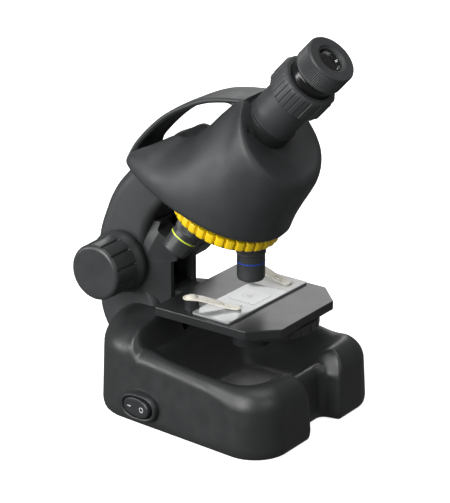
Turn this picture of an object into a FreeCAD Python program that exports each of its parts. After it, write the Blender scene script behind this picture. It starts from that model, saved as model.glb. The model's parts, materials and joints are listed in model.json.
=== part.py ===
"""Toy microscope: base, curved arm, moving stage, turret with three objectives, inclined eyepiece.

+Z is up, the user sits on the -Y side, the arm stands on the +Y side and the switch is on -X.
The origin is on the table, straight below the upright objective.
"""
import FreeCAD, Part
import math
import os
from FreeCAD import Vector, Placement, Rotation

doc = FreeCAD.newDocument("ToyMicroscope")

# ---------------------------------------------------------------- driving dimensions, millimetres and degrees
DIMENSIONS = {
    "wall": 2.5,                 # moulded shell wall
    "foot_height": 0.8,          # rubber feet below the shell's edge
    "base_front_top": 41.0,      # height of the two front lobes
    "base_hump_top": 57.0,       # height of the hump that holds the arm
    "base_front_y": -52.0,
    "base_rear_y": 80.0,
    "base_half_front": 62.0,
    "base_half_rear": 54.0,
    "cover_thickness": 2.2,
    "arm_half_width": 21.0,
    "nose_half_width": 12.0,
    "slot_half_width": 9.2,
    "shaft_y": 75.0,
    "shaft_z": 81.5,
    "shaft_radius": 3.0,
    "knob_radius": 16.5,
    "knob_inner_x": 22.8,
    "knob_outer_x": 48.0,
    "stage_top": 67.5,
    "stage_thickness": 5.3,
    "stage_half_width": 40.0,
    "wheel_radius": 30.0,
    "wheel_y": -11.0,
    "wheel_top": 61.8,
    "wheel_thickness": 4.6,
    "lamp_radius": 11.0,
    "slide_length": 76.0,
    "slide_width": 26.0,
    "slide_thickness": 1.2,
    "post_x": 30.5,
    "post_y": 19.0,
    "post_height": 5.6,
    "turret_y": 16.3,
    "turret_z": 114.1,
    "turret_tilt": 20.4,
    "turret_ring_radius": 31.2,
    "turret_ring_height": 5.8,
    "objective_offset": 17.4,
    "objective_radius": 7.7,
    "eye_y": -52.1,
    "eye_z": 218.7,
    "eye_tilt": 43.0,
    "tube_radius": 14.1,
    "barrel_radius": 11.6,
    "clamp_radius": 17.0,
    "cap_radius": 14.5,
    "cap_length": 12.2,
    "pinion_module": 0.8,
    "pinion_teeth": 12,
    "switch_y": 37.0,
    "switch_z": 11.6,
}

sheet = doc.addObject("Spreadsheet::Sheet", "dims")
for row, (alias, value) in enumerate(DIMENSIONS.items(), start=1):
    sheet.set("A%d" % row, alias)
    sheet.set("B%d" % row, str(value))
    sheet.setAlias("B%d" % row, alias)
doc.recompute()


def dim(alias):
    """A driving dimension as a plain number, for places and outlines."""
    return float(sheet.get(alias))


# ---------------------------------------------------------------- helpers
NODES = {}
ALONG_X = Rotation(Vector(0, 1, 0), 90)
UPRIGHT = Rotation()
SIDE_PLANE = Rotation(Vector(1, 1, 1), 120)      # sketch x runs along +Y, sketch y along +Z, normal +X

TURRET = Placement(Vector(0, dim("turret_y"), dim("turret_z")), Rotation(Vector(1, 0, 0), dim("turret_tilt")))
EYE = Placement(Vector(0, dim("eye_y"), dim("eye_z")), Rotation(Vector(1, 0, 0), dim("eye_tilt")))


def spot(x, y, z, turn=UPRIGHT, frame=None):
    """A placement at x, y, z, in the world or inside another frame."""
    local = Placement(Vector(x, y, z), turn)
    return frame.multiply(local) if frame else local


def make(kind, name, placement=None, **sizes):
    """A document object; a size given as text is an expression on the sheet."""
    obj = doc.addObject(kind, name)
    for prop, value in sizes.items():
        if isinstance(value, str):
            obj.setExpression(prop, value)
        else:
            setattr(obj, prop, value)
    if placement:
        obj.Placement = placement
    return obj


def rod(name, radius, height, placement):
    return make("Part::Cylinder", name, placement, Radius=radius, Height=height)


def block(name, low, high, frame=None):
    """A box between two corners."""
    return make("Part::Box", name, spot(low[0], low[1], low[2], frame=frame),
                Length=high[0] - low[0], Width=high[1] - low[1], Height=high[2] - low[2])


def fuse(name, *shapes):
    return make("Part::MultiFuse", name, Shapes=list(shapes))


def group(name, *shapes):
    """Separate solids that share one node."""
    return make("Part::Compound", name, Links=list(shapes))


def cut(name, base, *tools):
    tool = tools[0] if len(tools) == 1 else fuse(name + "_tools", *tools)
    return make("Part::Cut", name, Base=base, Tool=tool)


def common(name, *shapes):
    return make("Part::MultiCommon", name, Shapes=list(shapes))


def node(obj, name):
    obj.Label = name
    NODES[name] = obj
    return obj


def rounded(corners):
    """Line and arc segments of a closed polygon; each corner is (x, y, radius).

    Where two neighbouring corners ask for more than the side between them, both give way.
    """
    count = len(corners)
    points = [Vector(x, y, 0) for x, y, _ in corners]
    backs = [(points[i - 1] - points[i]).normalize() for i in range(count)]
    aheads = [(points[(i + 1) % count] - points[i]).normalize() for i in range(count)]
    halves = [backs[i].getAngle(aheads[i]) / 2 for i in range(count)]
    wanted = [corners[i][2] / math.tan(halves[i]) for i in range(count)]
    reach = list(wanted)
    for i in range(count):
        j = (i + 1) % count
        room = points[i].distanceToPoint(points[j])
        if wanted[i] + wanted[j] > room:
            share = room / (wanted[i] + wanted[j])
            reach[i] = min(reach[i], wanted[i] * share)
            reach[j] = min(reach[j], wanted[j] * share)
    starts = [points[i] + backs[i] * reach[i] for i in range(count)]
    ends = [points[i] + aheads[i] * reach[i] for i in range(count)]
    pieces = []
    for i in range(count):
        if reach[i] > 1e-6:
            radius = reach[i] * math.tan(halves[i])
            bisector = (backs[i] + aheads[i]).normalize()
            middle = points[i] + bisector * (radius / math.sin(halves[i]) - radius)
            pieces.append(Part.Arc(starts[i], middle, ends[i]))
        following = starts[(i + 1) % count]
        if ends[i].distanceToPoint(following) > 1e-6:
            pieces.append(Part.LineSegment(ends[i], following))
    return pieces


def sketch(name, pieces, placement=None):
    drawing = doc.addObject("Sketcher::SketchObject", name)
    drawing.addGeometry(pieces, False)
    if placement:
        drawing.Placement = placement
    return drawing


def extrude(name, pieces, placement, ahead, behind=0.0):
    """A solid from a closed outline, ahead and behind its plane."""
    drawing = sketch(name + "_outline", pieces, placement)
    solid = make("Part::Extrusion", name, Base=drawing, Solid=True, LengthFwd=ahead, LengthRev=behind)
    solid.DirMode = "Normal"
    return solid


def oval(half_long, half_short):
    """An oval outline, long along sketch x."""
    ellipse = Part.Ellipse(Vector(0, 0, 0), half_long, half_short)
    return [ellipse]


def side_extrude(name, corners, half_width):
    """A solid with a side profile (y, z, radius), the same on both sides of X = 0."""
    return extrude(name, rounded(corners), spot(0, 0, 0, SIDE_PLANE), half_width, half_width)


def plan_extrude(name, corners, low, high):
    return extrude(name, rounded(corners), spot(0, 0, low), high - low)


def mirrored(half):
    """Both sides of an outline given for +X from rear to front."""
    return half + [(-x, y, radius) for x, y, radius in reversed(half)]


# ---------------------------------------------------------------- base
def base_outline(inset=0.0):
    front, rear = dim("base_front_y"), dim("base_rear_y")
    half = [
        (dim("base_half_rear") - inset, rear - inset, 28 - inset),
        (dim("base_half_front") - inset, front + inset, 27 - inset),
        (17.5 + inset, front + inset, 3.0),
        (15.0 + inset, front + 11 + inset, 4.0),
    ]
    return mirrored(half)


def arm_corners(inset=0.0):
    """The arm's C-shaped side profile, clockwise from its lower front corner."""
    rear = [(85, 28), (95.5, 45), (96.2, 92), (84, 122), (62, 147)]
    front = [(40, 146), (40, 131), (60, 118), (60.5, 88), (53, 64), (50, 28)]
    rear_radii = [6, 30, 60, 60, 10]
    front_radii = [3, 6, 22, 30, 40, 3]
    inset_rear = [(y - inset, z) for y, z in rear]
    inset_front = [(y + inset, z) for y, z in front]
    inset_rear[0] = (rear[0][0] - inset, rear[0][1] + inset)
    inset_rear[-1] = (rear[-1][0] - inset, rear[-1][1] - inset)
    inset_front[0] = (front[0][0] + inset, front[0][1] - inset)
    inset_front[-1] = (front[-1][0] + inset, front[-1][1] + inset)
    outline = [(y, z, r) for (y, z), r in zip(inset_rear, rear_radii)]
    return outline + [(y, z, r) for (y, z), r in zip(inset_front, front_radii)]


def nose_solid(name):
    """The upright rib in front of the arm, cut off by a slope below the turret."""
    half = dim("nose_half_width")
    plan = mirrored([(20, 72, 1), (20, 60, 2), (half, 47, 2)])
    column = plan_extrude(name + "_column", plan, 28, 106)
    slope = extrude(name + "_slope", rounded([(30, 61, 0), (74, 118, 0), (30, 118, 0)]),
                    spot(0, 0, 0, SIDE_PLANE), 30, 30)
    return cut(name, column, slope)


arm_outer = fuse("arm_outer", side_extrude("arm_profile", arm_corners(), dim("arm_half_width")),
                 nose_solid("nose"))

low_block = plan_extrude("base_low_block", base_outline(), dim("foot_height"), dim("base_front_top"))
doc.recompute()
top_edges = [i + 1 for i, edge in enumerate(low_block.Shape.Edges)
             if edge.BoundBox.ZMin > dim("base_front_top") - 0.01]
low_round = make("Part::Fillet", "base_low_round", Base=low_block, Edges=[(i, 9.0, 9.0) for i in top_edges])

hump_plan = plan_extrude("hump_plan", base_outline(), dim("foot_height"), dim("base_hump_top") + 1)
hump_side = side_extrude("hump_side", [(30, 1, 0), (30, 30, 4), (41, 41, 8), (48, 57, 5), (58, 57, 10),
                                       (82, 43, 8), (82, 1, 0)], 70)
hump_front = extrude("hump_front", rounded([(-56, 0, 0), (56, 0, 0), (56, 57, 22), (-56, 57, 22)]),
                     spot(0, 90, 0, Rotation(Vector(1, 0, 0), 90)), 90)
hump = common("hump", hump_plan, hump_side, hump_front)
basin = make("Part::Ellipsoid", "basin", spot(0, 4, 52), Radius1=36, Radius2=42, Radius3=36)

hollow_front = plan_extrude("hollow_front", base_outline(dim("wall")), 0, 12.5)
inner_plan = plan_extrude("inner_plan", base_outline(dim("wall")), 0, 40)
hollow_middle = common("hollow_middle", inner_plan, block("hollow_middle_block", (-60, 29, 0), (60, 78, 22)))
hollow_rear = common("hollow_rear", inner_plan, block("hollow_rear_block", (-42, 45, 0), (42, 75, 37)))
carriage_way = block("carriage_way", (-9.6, 30, 40.5), (9.6, 50, 60))
switch_place = spot(-dim("base_half_front"), dim("switch_y"), dim("switch_z"), SIDE_PLANE)
switch_hole = extrude("switch_hole", oval(11.2, 8.6), switch_place, 14)

base_shell = cut("base_shell_cut", fuse("base_outer", low_round, hump), basin, arm_outer,
                 hollow_front, hollow_middle, hollow_rear, carriage_way, switch_hole)
node(base_shell, "base_shell")

cover_gap = dim("wall") + 0.15
cover_low = dim("foot_height")
cover_high = cover_low + dim("cover_thickness")
cover_plate = plan_extrude("cover_plate", base_outline(cover_gap), cover_low, cover_high)
FEET = [(-42, 56), (42, 56), (-44, -30), (44, -30)]
SCREWS = [(-30, -44), (30, -44), (-48, 14), (48, 14)]
door_low, door_high = (-29.5, 33), (29.5, 73)
door_hole = block("door_hole", (door_low[0] - 0.3, door_low[1] - 0.3, 0),
                  (door_high[0] + 0.3, door_high[1] + 0.3, 5))
cover_cuts = [door_hole]
for i, (x, y) in enumerate(FEET):
    cover_cuts.append(rod("foot_hole_%d" % i, 5.0, 2.0, spot(x, y, 0)))
for i, (x, y) in enumerate(SCREWS):
    cover_cuts.append(rod("screw_hole_%d" % i, 1.6, 6.0, spot(x, y, 0)))
    cover_cuts.append(rod("screw_seat_%d" % i, 2.9, 1.6, spot(x, y, 0)))
node(cut("base_cover_cut", cover_plate, *cover_cuts), "base_cover")

feet = [rod("foot_%d" % i, 5.0, 2.0, spot(x, y, 0)) for i, (x, y) in enumerate(FEET)]
node(group("rubber_feet_group", *feet), "rubber_feet")


def pan_screw(name, placement, length, shank=1.5, head=2.8, head_height=1.2):
    """A screw that points along local +Z, with its head at the origin."""
    top = rod(name + "_head", head, head_height, placement)
    stem = rod(name + "_stem", shank, length,
               placement.multiply(Placement(Vector(0, 0, head_height - 0.2), UPRIGHT)))
    slot = make("Part::Box", name + "_slot",
                placement.multiply(Placement(Vector(-head, -0.4, -0.1), UPRIGHT)),
                Length=2 * head, Width=0.8, Height=0.6)
    return cut(name, fuse(name + "_body", top, stem), slot)


HEAD_LOW = 0.4                                    # screw heads sit in their seats, above the table
base_screws = [pan_screw("base_screw_%d" % i, spot(x, y, HEAD_LOW), 9.0) for i, (x, y) in enumerate(SCREWS)]
node(group("base_screw_group", *base_screws), "base_screws")

door_plate = block("door_plate", (door_low[0], door_low[1], cover_low),
                   (door_high[0], door_high[1], cover_high - 0.2))
door_screw_y = 69.5
door_bore = rod("door_bore", 1.6, 6, spot(0, door_screw_y, 0))
door_seat = rod("door_seat", 2.9, 1.6, spot(0, door_screw_y, 0))
ribs = [block("door_rib_%d" % i, (-18, 38 + 3 * i, cover_low - 0.1),
              (18, 39.2 + 3 * i, cover_low + 0.4)) for i in range(4)]
node(cut("battery_door_cut", door_plate, door_bore, door_seat, *ribs), "battery_door")
node(pan_screw("door_screw_part", spot(0, door_screw_y, HEAD_LOW), 8.0), "door_screw")

CELL_RADIUS = 7.2
CELL_LENGTH = 48.5
cell_rows = [41.2 + 15.2 * i for i in range(2)]
BAY_END = 27.0
tray_box = block("tray_box", (-31.5, 31.2, cover_high), (31.5, 75, 19.6))
tray_bay = block("tray_bay", (-BAY_END, 33.9, 2.9), (BAY_END, 64.1, 18.6))
tray_cuts = [tray_bay, rod("tray_screw_bore", 1.5, 7.0, spot(0, door_screw_y, 2.9))]
for side in (-1, 1):
    near, far = sorted((side * 5.0, side * 30.0))
    tray_cuts.append(block("tray_pocket_%d" % (side + 1), (near, 65.6, 2.9), (far, 73.6, 18.2)))
node(cut("battery_tray_cut", tray_box, *tray_cuts), "battery_tray")
cells, contacts = [], []
PLATE = 0.6
NUB_RADIUS, NUB_START = 2.6, CELL_LENGTH / 2 - 0.2
for i, y in enumerate(cell_rows):
    plus = 1 - 2 * i                              # the second cell lies the other way round
    lengthways = Rotation(Vector(0, 1, 0), 90 * plus)
    middle = spot(0, y, 10.8, lengthways)
    body = rod("cell_%d_body" % i, CELL_RADIUS, CELL_LENGTH, middle.multiply(spot(0, 0, -CELL_LENGTH / 2)))
    nub = rod("cell_%d_nub" % i, NUB_RADIUS, BAY_END - PLATE - NUB_START,
              middle.multiply(spot(0, 0, NUB_START)))
    cells.append(fuse("cell_%d" % i, body, nub))
    for side in (-1, 1):
        near, far = sorted((side * (BAY_END - PLATE), side * BAY_END))
        contacts.append(block("contact_%d_%d" % (i, side + 1), (near, y - 5, 5.5), (far, y + 5, 16)))
    contacts.append(make("Part::Cone", "contact_spring_%d" % i, middle.multiply(spot(0, 0, PLATE - BAY_END)),
                         Radius1=4.5, Radius2=2.5, Height=BAY_END - PLATE - CELL_LENGTH / 2))
node(group("battery_group", *cells), "batteries")
node(group("contact_group", *contacts), "battery_contacts")

# the power switch: a tapered oval surround on the left wall, with a rocker in it
BEZEL_FACE_X = -60.4
bezel_wide = sketch("bezel_wide", oval(13.0, 9.8), spot(-54.6, dim("switch_y"), dim("switch_z"), SIDE_PLANE))
bezel_narrow = sketch("bezel_narrow", oval(11.4, 8.5),
                      spot(BEZEL_FACE_X, dim("switch_y"), dim("switch_z"), SIDE_PLANE))
bezel_cone = make("Part::Loft", "bezel_cone", Sections=[bezel_wide, bezel_narrow], Solid=True)
bezel_sleeve = extrude("bezel_sleeve", oval(11.1, 8.5),
                       spot(-57.4, dim("switch_y"), dim("switch_z"), SIDE_PLANE), 8)
bezel_well = extrude("bezel_well", oval(10.2, 7.6),
                     spot(-62, dim("switch_y"), dim("switch_z"), SIDE_PLANE), 11.5)
bezel_blank = fuse("bezel_blank", bezel_cone, bezel_sleeve)
node(cut("bezel_cut", bezel_blank, bezel_well, base_shell), "switch_bezel")

ROCKER_PIVOT_X = -56.0
ROCKER_REST = -8.0                                # the rear end is pressed in
rocker_face = extrude("rocker_face", oval(9.6, 7.0), spot(-5.2, 0, 0, SIDE_PLANE), 8.4)
rocker_crown = rod("rocker_crown", 26.0, 20, spot(20.4, 0, -10))
rocker_blank = common("rocker_blank", rocker_face, rocker_crown)
rocker_blank.Placement = spot(ROCKER_PIVOT_X, dim("switch_y"), dim("switch_z"),
                              Rotation(Vector(0, 0, 1), ROCKER_REST))
node(rocker_blank, "power_rocker")

# ---------------------------------------------------------------- head: hood, handle, turret mount, prism
HOOD_SECTIONS = [                                  # height along the turret axis, then half outlines
    (5.0, [(13, 67, 9), (32, 36, 30), (33.5, -33.5, 33.0)]),
    (33.0, [(13, 42, 9), (29, 20, 22), (37.5, -37.0, 36.0)]),
    (41.0, [(13, 30.5, 9), (27.5, 14, 14), (36.5, -37.0, 35.0)]),
    (58.0, [(12, 21.5, 8), (24, 8, 12), (33.0, -36.0, 32.0)]),
    (80.0, [(11, 9.5, 7), (17, 0, 9), (22.0, -22.0, 21.0)]),
]
LIP_TILT = 54.6
LIP = Placement(Vector(0, -21.0, 174.4), Rotation(Vector(1, 0, 0), LIP_TILT))


def hood_solid(name, inset):
    """The hood's outside, or its inside when inset by the wall."""
    sections = []
    for i, (height, half) in enumerate(HOOD_SECTIONS):
        first, last = i == 0, i == len(HOOD_SECTIONS) - 1
        level = height - (0.2 if inset and first else 0) - (inset if last else 0)
        slim = [(x - inset, y - math.copysign(inset, y) if y else y, r) for x, y, r in half]
        sections.append(sketch("%s_section_%d" % (name, i), rounded(mirrored(slim)),
                               spot(0, 0, level, frame=TURRET)))
    body = make("Part::Loft", name + "_loft", Sections=sections, Solid=True)
    above = block(name + "_above_lip", (-60, -80, -inset), (60, 80, 80), LIP)
    return cut(name, body, above)


hood_outer = hood_solid("hood_outer", 0.0)
hood_inner = hood_solid("hood_inner", dim("wall"))
tube_hole = rod("tube_hole", "dims.tube_radius", 40, spot(0, 0, -84, frame=EYE))
node(cut("hood_cut", hood_outer, hood_inner, tube_hole), "hood_shell")

collar_blank = rod("collar_blank", 15.7, 9.0, spot(0, 0, -62, frame=EYE))
collar_hole = rod("collar_hole", "dims.tube_radius", 20, spot(0, 0, -70, frame=EYE))
node(cut("collar_cut", collar_blank, collar_hole, hood_outer), "tube_collar")

handle_outline = [(-3, 191.8, 1.5), (13, 189.8, 25), (31, 184, 40), (52, 170.3, 40), (67, 156.5, 30),
                  (80, 139, 1.0), (71, 139, 1), (61.5, 154.5, 25), (49, 166.5, 38), (29, 179.6, 36),
                  (12, 185.4, 12), (-3, 187.6, 1)]
handle_band = side_extrude("handle_band", handle_outline, 13.5)
handle_clear = rod("handle_clear", 15.7, 40, spot(0, 0, -76, frame=EYE))
node(cut("handle_cut", handle_band, hood_outer, handle_clear), "carry_handle")

MOUNT_LOW, MOUNT_HIGH = 4.0, 8.0
mount_disc = rod("mount_disc", 27.0, MOUNT_HIGH - MOUNT_LOW, spot(0, 0, MOUNT_LOW, frame=TURRET))
mount_axle = rod("mount_axle", 4.0, 8.4, spot(0, 0, -4.2, frame=TURRET))
mount_bridge = block("mount_bridge", (-14, 15, MOUNT_LOW), (14, 38, 12), TURRET)
light_tube = rod("light_tube", 9.0, 34, spot(0, 0, 114))
light_bore = rod("light_bore", 6.5, 80, spot(0, 0, 90))
mount_floor = make("Part::Cylinder", "mount_floor", spot(0, 0, -40, frame=TURRET), Radius=60.0,
                   Height=40.0 + MOUNT_LOW)
upper_mount = cut("upper_mount", fuse("mount_blank", mount_disc, mount_bridge, light_tube), mount_floor)
axle_bore = rod("axle_bore", 1.5, 6.0, spot(0, 0, -4.2, frame=TURRET))
node(cut("mount_cut", fuse("mount_whole", upper_mount, mount_axle), light_bore, axle_bore), "turret_mount")
node(pan_screw("turret_screw_part", spot(0, 0, -6.2, frame=TURRET), 5.8, head=7.0, head_height=2.0),
     "turret_screw")
detent_leaf = block("detent_leaf", (-3, 11, 3.45), (3, 25, 4.0), TURRET)
node(detent_leaf, "detent_spring")

holder_block = block("holder_block", (-14, -11, 148), (14, 15, 167))
holder_tube_seat = rod("holder_tube_seat", "dims.tube_radius", 30, spot(0, 0, -69, frame=EYE))
prism_corners = [(-8, 150, 0), (9, 150, 0), (9, 167, 0)]
prism = side_extrude("prism_body", prism_corners, 9)
prism_pocket = side_extrude("prism_pocket", [(-8.6, 149.4, 0), (9, 149.4, 0), (9, 167, 0)], 9)
sight_bore = rod("sight_bore", 9.0, 26, spot(0, 0, -86, frame=EYE))
node(cut("holder_cut", holder_block, holder_tube_seat, prism_pocket, light_bore, sight_bore), "prism_holder")
node(prism, "prism")

# ---------------------------------------------------------------- eyepiece
TUBE_LOW, TUBE_HIGH = -69.0, -21.0
CLAMP_LOW, CLAMP_HIGH = -33.6, -19.7
tube_skin = rod("tube_skin", "dims.tube_radius", TUBE_HIGH - TUBE_LOW, spot(0, 0, TUBE_LOW, frame=EYE))
tube_bore = rod("tube_bore", "dims.barrel_radius + 0.05", 60, spot(0, 0, TUBE_LOW - 2, frame=EYE))
tube_thread = cut("tube_thread_relief", rod("tube_thread_outer", 16, 12.2, spot(0, 0, -33.2, frame=EYE)),
                  rod("tube_thread_core", 13.6, 14, spot(0, 0, -34, frame=EYE)))
node(cut("tube_cut", tube_skin, tube_bore, tube_thread), "eyepiece_tube")

clamp_skin = rod("clamp_skin", "dims.clamp_radius", CLAMP_HIGH - CLAMP_LOW, spot(0, 0, CLAMP_LOW, frame=EYE))
clamp_bore = rod("clamp_bore", 14.2, 12.9, spot(0, 0, CLAMP_LOW - 0.2, frame=EYE))
clamp_mouth = rod("clamp_mouth", 12.4, 20, spot(0, 0, -36, frame=EYE))
clamp_ring_body = cut("clamp_ring_body", clamp_skin, clamp_bore, clamp_mouth)
CLAMP_RIBS = 16
clamp_slots = []
for i in range(CLAMP_RIBS):
    turn = EYE.multiply(Placement(Vector(0, 0, 0), Rotation(Vector(0, 0, 1), 360.0 * i / CLAMP_RIBS)))
    clamp_slots.append(block("clamp_slot_%d" % i, (16.3, -0.35, -32.6), (18, 0.35, -21.6), turn))
node(cut("clamp_ring_cut", clamp_ring_body, *clamp_slots), "clamp_ring")

barrel_skin = rod("barrel_skin", "dims.barrel_radius", 40, spot(0, 0, -52.2, frame=EYE))
barrel_neck = rod("barrel_neck", 13.0, 4.9, spot(0, 0, -19.4, frame=EYE))
barrel_bore = rod("barrel_bore", 10.3, 44, spot(0, 0, -54, frame=EYE))
node(cut("barrel_cut", fuse("barrel_blank", barrel_skin, barrel_neck), barrel_bore), "eyepiece_barrel")
cap_body = make("Part::Cylinder", "cap_body", spot(0, 0, -dim("cap_length"), frame=EYE),
                Radius="dims.cap_radius", Height="dims.cap_length")
doc.recompute()
cap_rims = [i + 1 for i, edge in enumerate(cap_body.Shape.Edges) if edge.Curve.TypeId == "Part::GeomCircle"]
cap_round = make("Part::Fillet", "cap_round", Base=cap_body, Edges=[(i, 0.9, 0.9) for i in cap_rims])
cap_dish = make("Part::Cone", "cap_dish", spot(0, 0, -1.4, frame=EYE), Radius1=6.6, Radius2=8.0, Height=1.5)
cap_bore = rod("cap_bore", 6.6, 20, spot(0, 0, -16, frame=EYE))
node(cut("cap_cut", cap_round, cap_dish, cap_bore), "eyepiece_cap")
node(make("Part::Cylinder", "eye_lens_disc", spot(0, 0, -5.0, frame=EYE), Radius=6.6, Height=2.6), "eye_lens")
node(make("Part::Cylinder", "field_lens_disc", spot(0, 0, -50.0, frame=EYE), Radius=10.3, Height=2.4),
     "field_lens")

# ---------------------------------------------------------------- arm
below_rim = block("below_rim", (-80, -120, -200), (80, 120, 4.9), TURRET)
arm_limits = fuse("arm_limits", below_rim, hood_inner)
arm_cavity = side_extrude("arm_cavity", arm_corners(dim("wall")), 18.5)
carriage_slot = block("carriage_slot", (-dim("slot_half_width"), 40, 41), (dim("slot_half_width"), 66, 83))
bush_holes = rod("bush_holes", 6.05, 60, spot(-30, dim("shaft_y"), dim("shaft_z"), ALONG_X))
mount_space = block("mount_space", (-14.05, 15, MOUNT_LOW - 0.05), (14.05, 38.05, 12.05), TURRET)
ARM_SCREW_SPOTS = [(88.5, 50), (87, 102), (70, 122)]
screw_posts = [rod("screw_post_%d" % i, 4.0, 37.0, spot(-18.5, y, z, ALONG_X))
               for i, (y, z) in enumerate(ARM_SCREW_SPOTS)]
screw_bores = [rod("arm_screw_bore_%d" % i, 1.6, 34, spot(-12.0, y, z, ALONG_X))
               for i, (y, z) in enumerate(ARM_SCREW_SPOTS)]
screw_wells = [rod("arm_screw_well_%d" % i, 3.0, 8, spot(16.0, y, z, ALONG_X))
               for i, (y, z) in enumerate(ARM_SCREW_SPOTS)]
arm_hollow = cut("arm_hollow", arm_outer, arm_cavity)
arm_with_posts = fuse("arm_with_posts", arm_hollow,
                      common("posts_inside", fuse("posts", *screw_posts), arm_outer))
arm_limited = common("arm_limited", arm_with_posts, arm_limits)
arm_both = cut("arm_both", arm_limited, carriage_slot, bush_holes, mount_space, *screw_bores, *screw_wells)
left_space = block("left_space", (-60, -60, -10), (0, 150, 260))
right_space = block("right_space", (0, -60, -10), (60, 150, 260))
node(common("arm_left_cut", arm_both, left_space), "arm_shell_left")
node(common("arm_right_cut", arm_both, right_space), "arm_shell_right")
LEFTWARD = Rotation(Vector(0, 1, 0), -90)
arm_screws = [pan_screw("arm_screw_%d" % i, spot(17.6, y, z, LEFTWARD), 26)
              for i, (y, z) in enumerate(ARM_SCREW_SPOTS)]
node(group("arm_screw_group", *arm_screws), "arm_screws")

bushes = []
for i, side in enumerate((-1, 1)):
    turn = Rotation(Vector(0, 1, 0), 90 * side)
    sleeve = rod("bush_sleeve_%d" % i, 6.0, 4.2, spot(side * 18.2, dim("shaft_y"), dim("shaft_z"), turn))
    flange = rod("bush_flange_%d" % i, 9.0, 1.2, spot(side * 21.05, dim("shaft_y"), dim("shaft_z"), turn))
    hole = rod("bush_bore_%d" % i, "dims.shaft_radius + 0.05", 10,
               spot(side * 16, dim("shaft_y"), dim("shaft_z"), turn))
    bushes.append(cut("bush_%d" % i, fuse("bush_body_%d" % i, sleeve, flange), hole))
node(group("bush_group", *bushes), "shaft_bushes")

ROD_Y, ROD_X = 64.6, 6.0
ROD_LOW, ROD_HIGH = 36.0, 108.0
guide_bars = [rod("guide_bar_%d" % i, 1.5, ROD_HIGH - ROD_LOW, spot(x, ROD_Y, ROD_LOW))
              for i, x in enumerate((-ROD_X, ROD_X))]
node(group("guide_bar_group", *guide_bars), "guide_rods")
lower_bracket = block("lower_bracket", (-18.4, 58, ROD_LOW), (18.4, 78, 39.2))
upper_bracket = block("upper_bracket", (-18.4, 62.9, ROD_HIGH - 3.4), (18.4, 80, ROD_HIGH))
bar_holes = [rod("bar_hole_%d" % i, 1.5, 100, spot(x, ROD_Y, 20)) for i, x in enumerate((-ROD_X, ROD_X))]
both_brackets = cut("both_brackets", fuse("bracket_blank", lower_bracket, upper_bracket), *bar_holes)
node(common("rod_brackets_cut", both_brackets, arm_cavity), "rod_brackets")

# ---------------------------------------------------------------- focus drive
shaft = rod("shaft_bar", "dims.shaft_radius", 94.0, spot(-47.0, dim("shaft_y"), dim("shaft_z"), ALONG_X))
node(shaft, "focus_shaft")

PITCH = math.pi * dim("pinion_module")
PITCH_RADIUS = dim("pinion_module") * dim("pinion_teeth") / 2
TOOTH_ROOT, TOOTH_TIP = 3.95, 5.35
TOOTH_ROOT_HALF, TOOTH_TIP_HALF = 0.82, 0.30


def gear_teeth(count):
    """The outline of a straight-flanked pinion, first tooth along sketch x."""
    points = []
    for i in range(count):
        turn = Rotation(Vector(0, 0, 1), 360.0 * i / count)
        for radius, half in ((TOOTH_ROOT, -TOOTH_ROOT_HALF), (TOOTH_TIP, -TOOTH_TIP_HALF),
                             (TOOTH_TIP, TOOTH_TIP_HALF), (TOOTH_ROOT, TOOTH_ROOT_HALF)):
            points.append(turn.multVec(Vector(radius, half, 0)))
    return [Part.LineSegment(a, b) for a, b in zip(points, points[1:] + points[:1])]


gear_place = Placement(Vector(0, dim("shaft_y"), dim("shaft_z")), SIDE_PLANE)
pinion_blank = extrude("pinion_blank", gear_teeth(int(dim("pinion_teeth"))), gear_place, 4, 4)
pinion_bore = rod("pinion_bore", "dims.shaft_radius", 20, spot(-10, dim("shaft_y"), dim("shaft_z"), ALONG_X))
node(cut("pinion_cut", pinion_blank, pinion_bore), "pinion_gear")

RACK_FACE = dim("shaft_y") - PITCH_RADIUS - 0.95     # root line of the rack teeth
RACK_TIP = dim("shaft_y") - PITCH_RADIUS + 0.55
RACK_BACK, RACK_LOW, RACK_HIGH = 66.6, 58.0, 94.0
rack_points = [(RACK_BACK, RACK_HIGH, 0), (RACK_BACK, RACK_LOW, 0), (RACK_FACE, RACK_LOW, 0)]
teeth_below = int((dim("shaft_z") - RACK_LOW) / PITCH) - 1
teeth_above = int((RACK_HIGH - dim("shaft_z")) / PITCH) - 1
for i in range(-teeth_below, teeth_above + 1):
    centre = dim("shaft_z") + (i + 0.5) * PITCH
    rack_points += [(RACK_FACE, centre - 0.86, 0), (RACK_TIP, centre - 0.30, 0),
                    (RACK_TIP, centre + 0.30, 0), (RACK_FACE, centre + 0.86, 0)]
rack_points.append((RACK_FACE, RACK_HIGH, 0))
node(side_extrude("rack_bar", rack_points[::-1], 3.6), "focus_rack")


FLANGE_RADIUS, FLANGE_LENGTH = 18.6, 3.2


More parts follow.
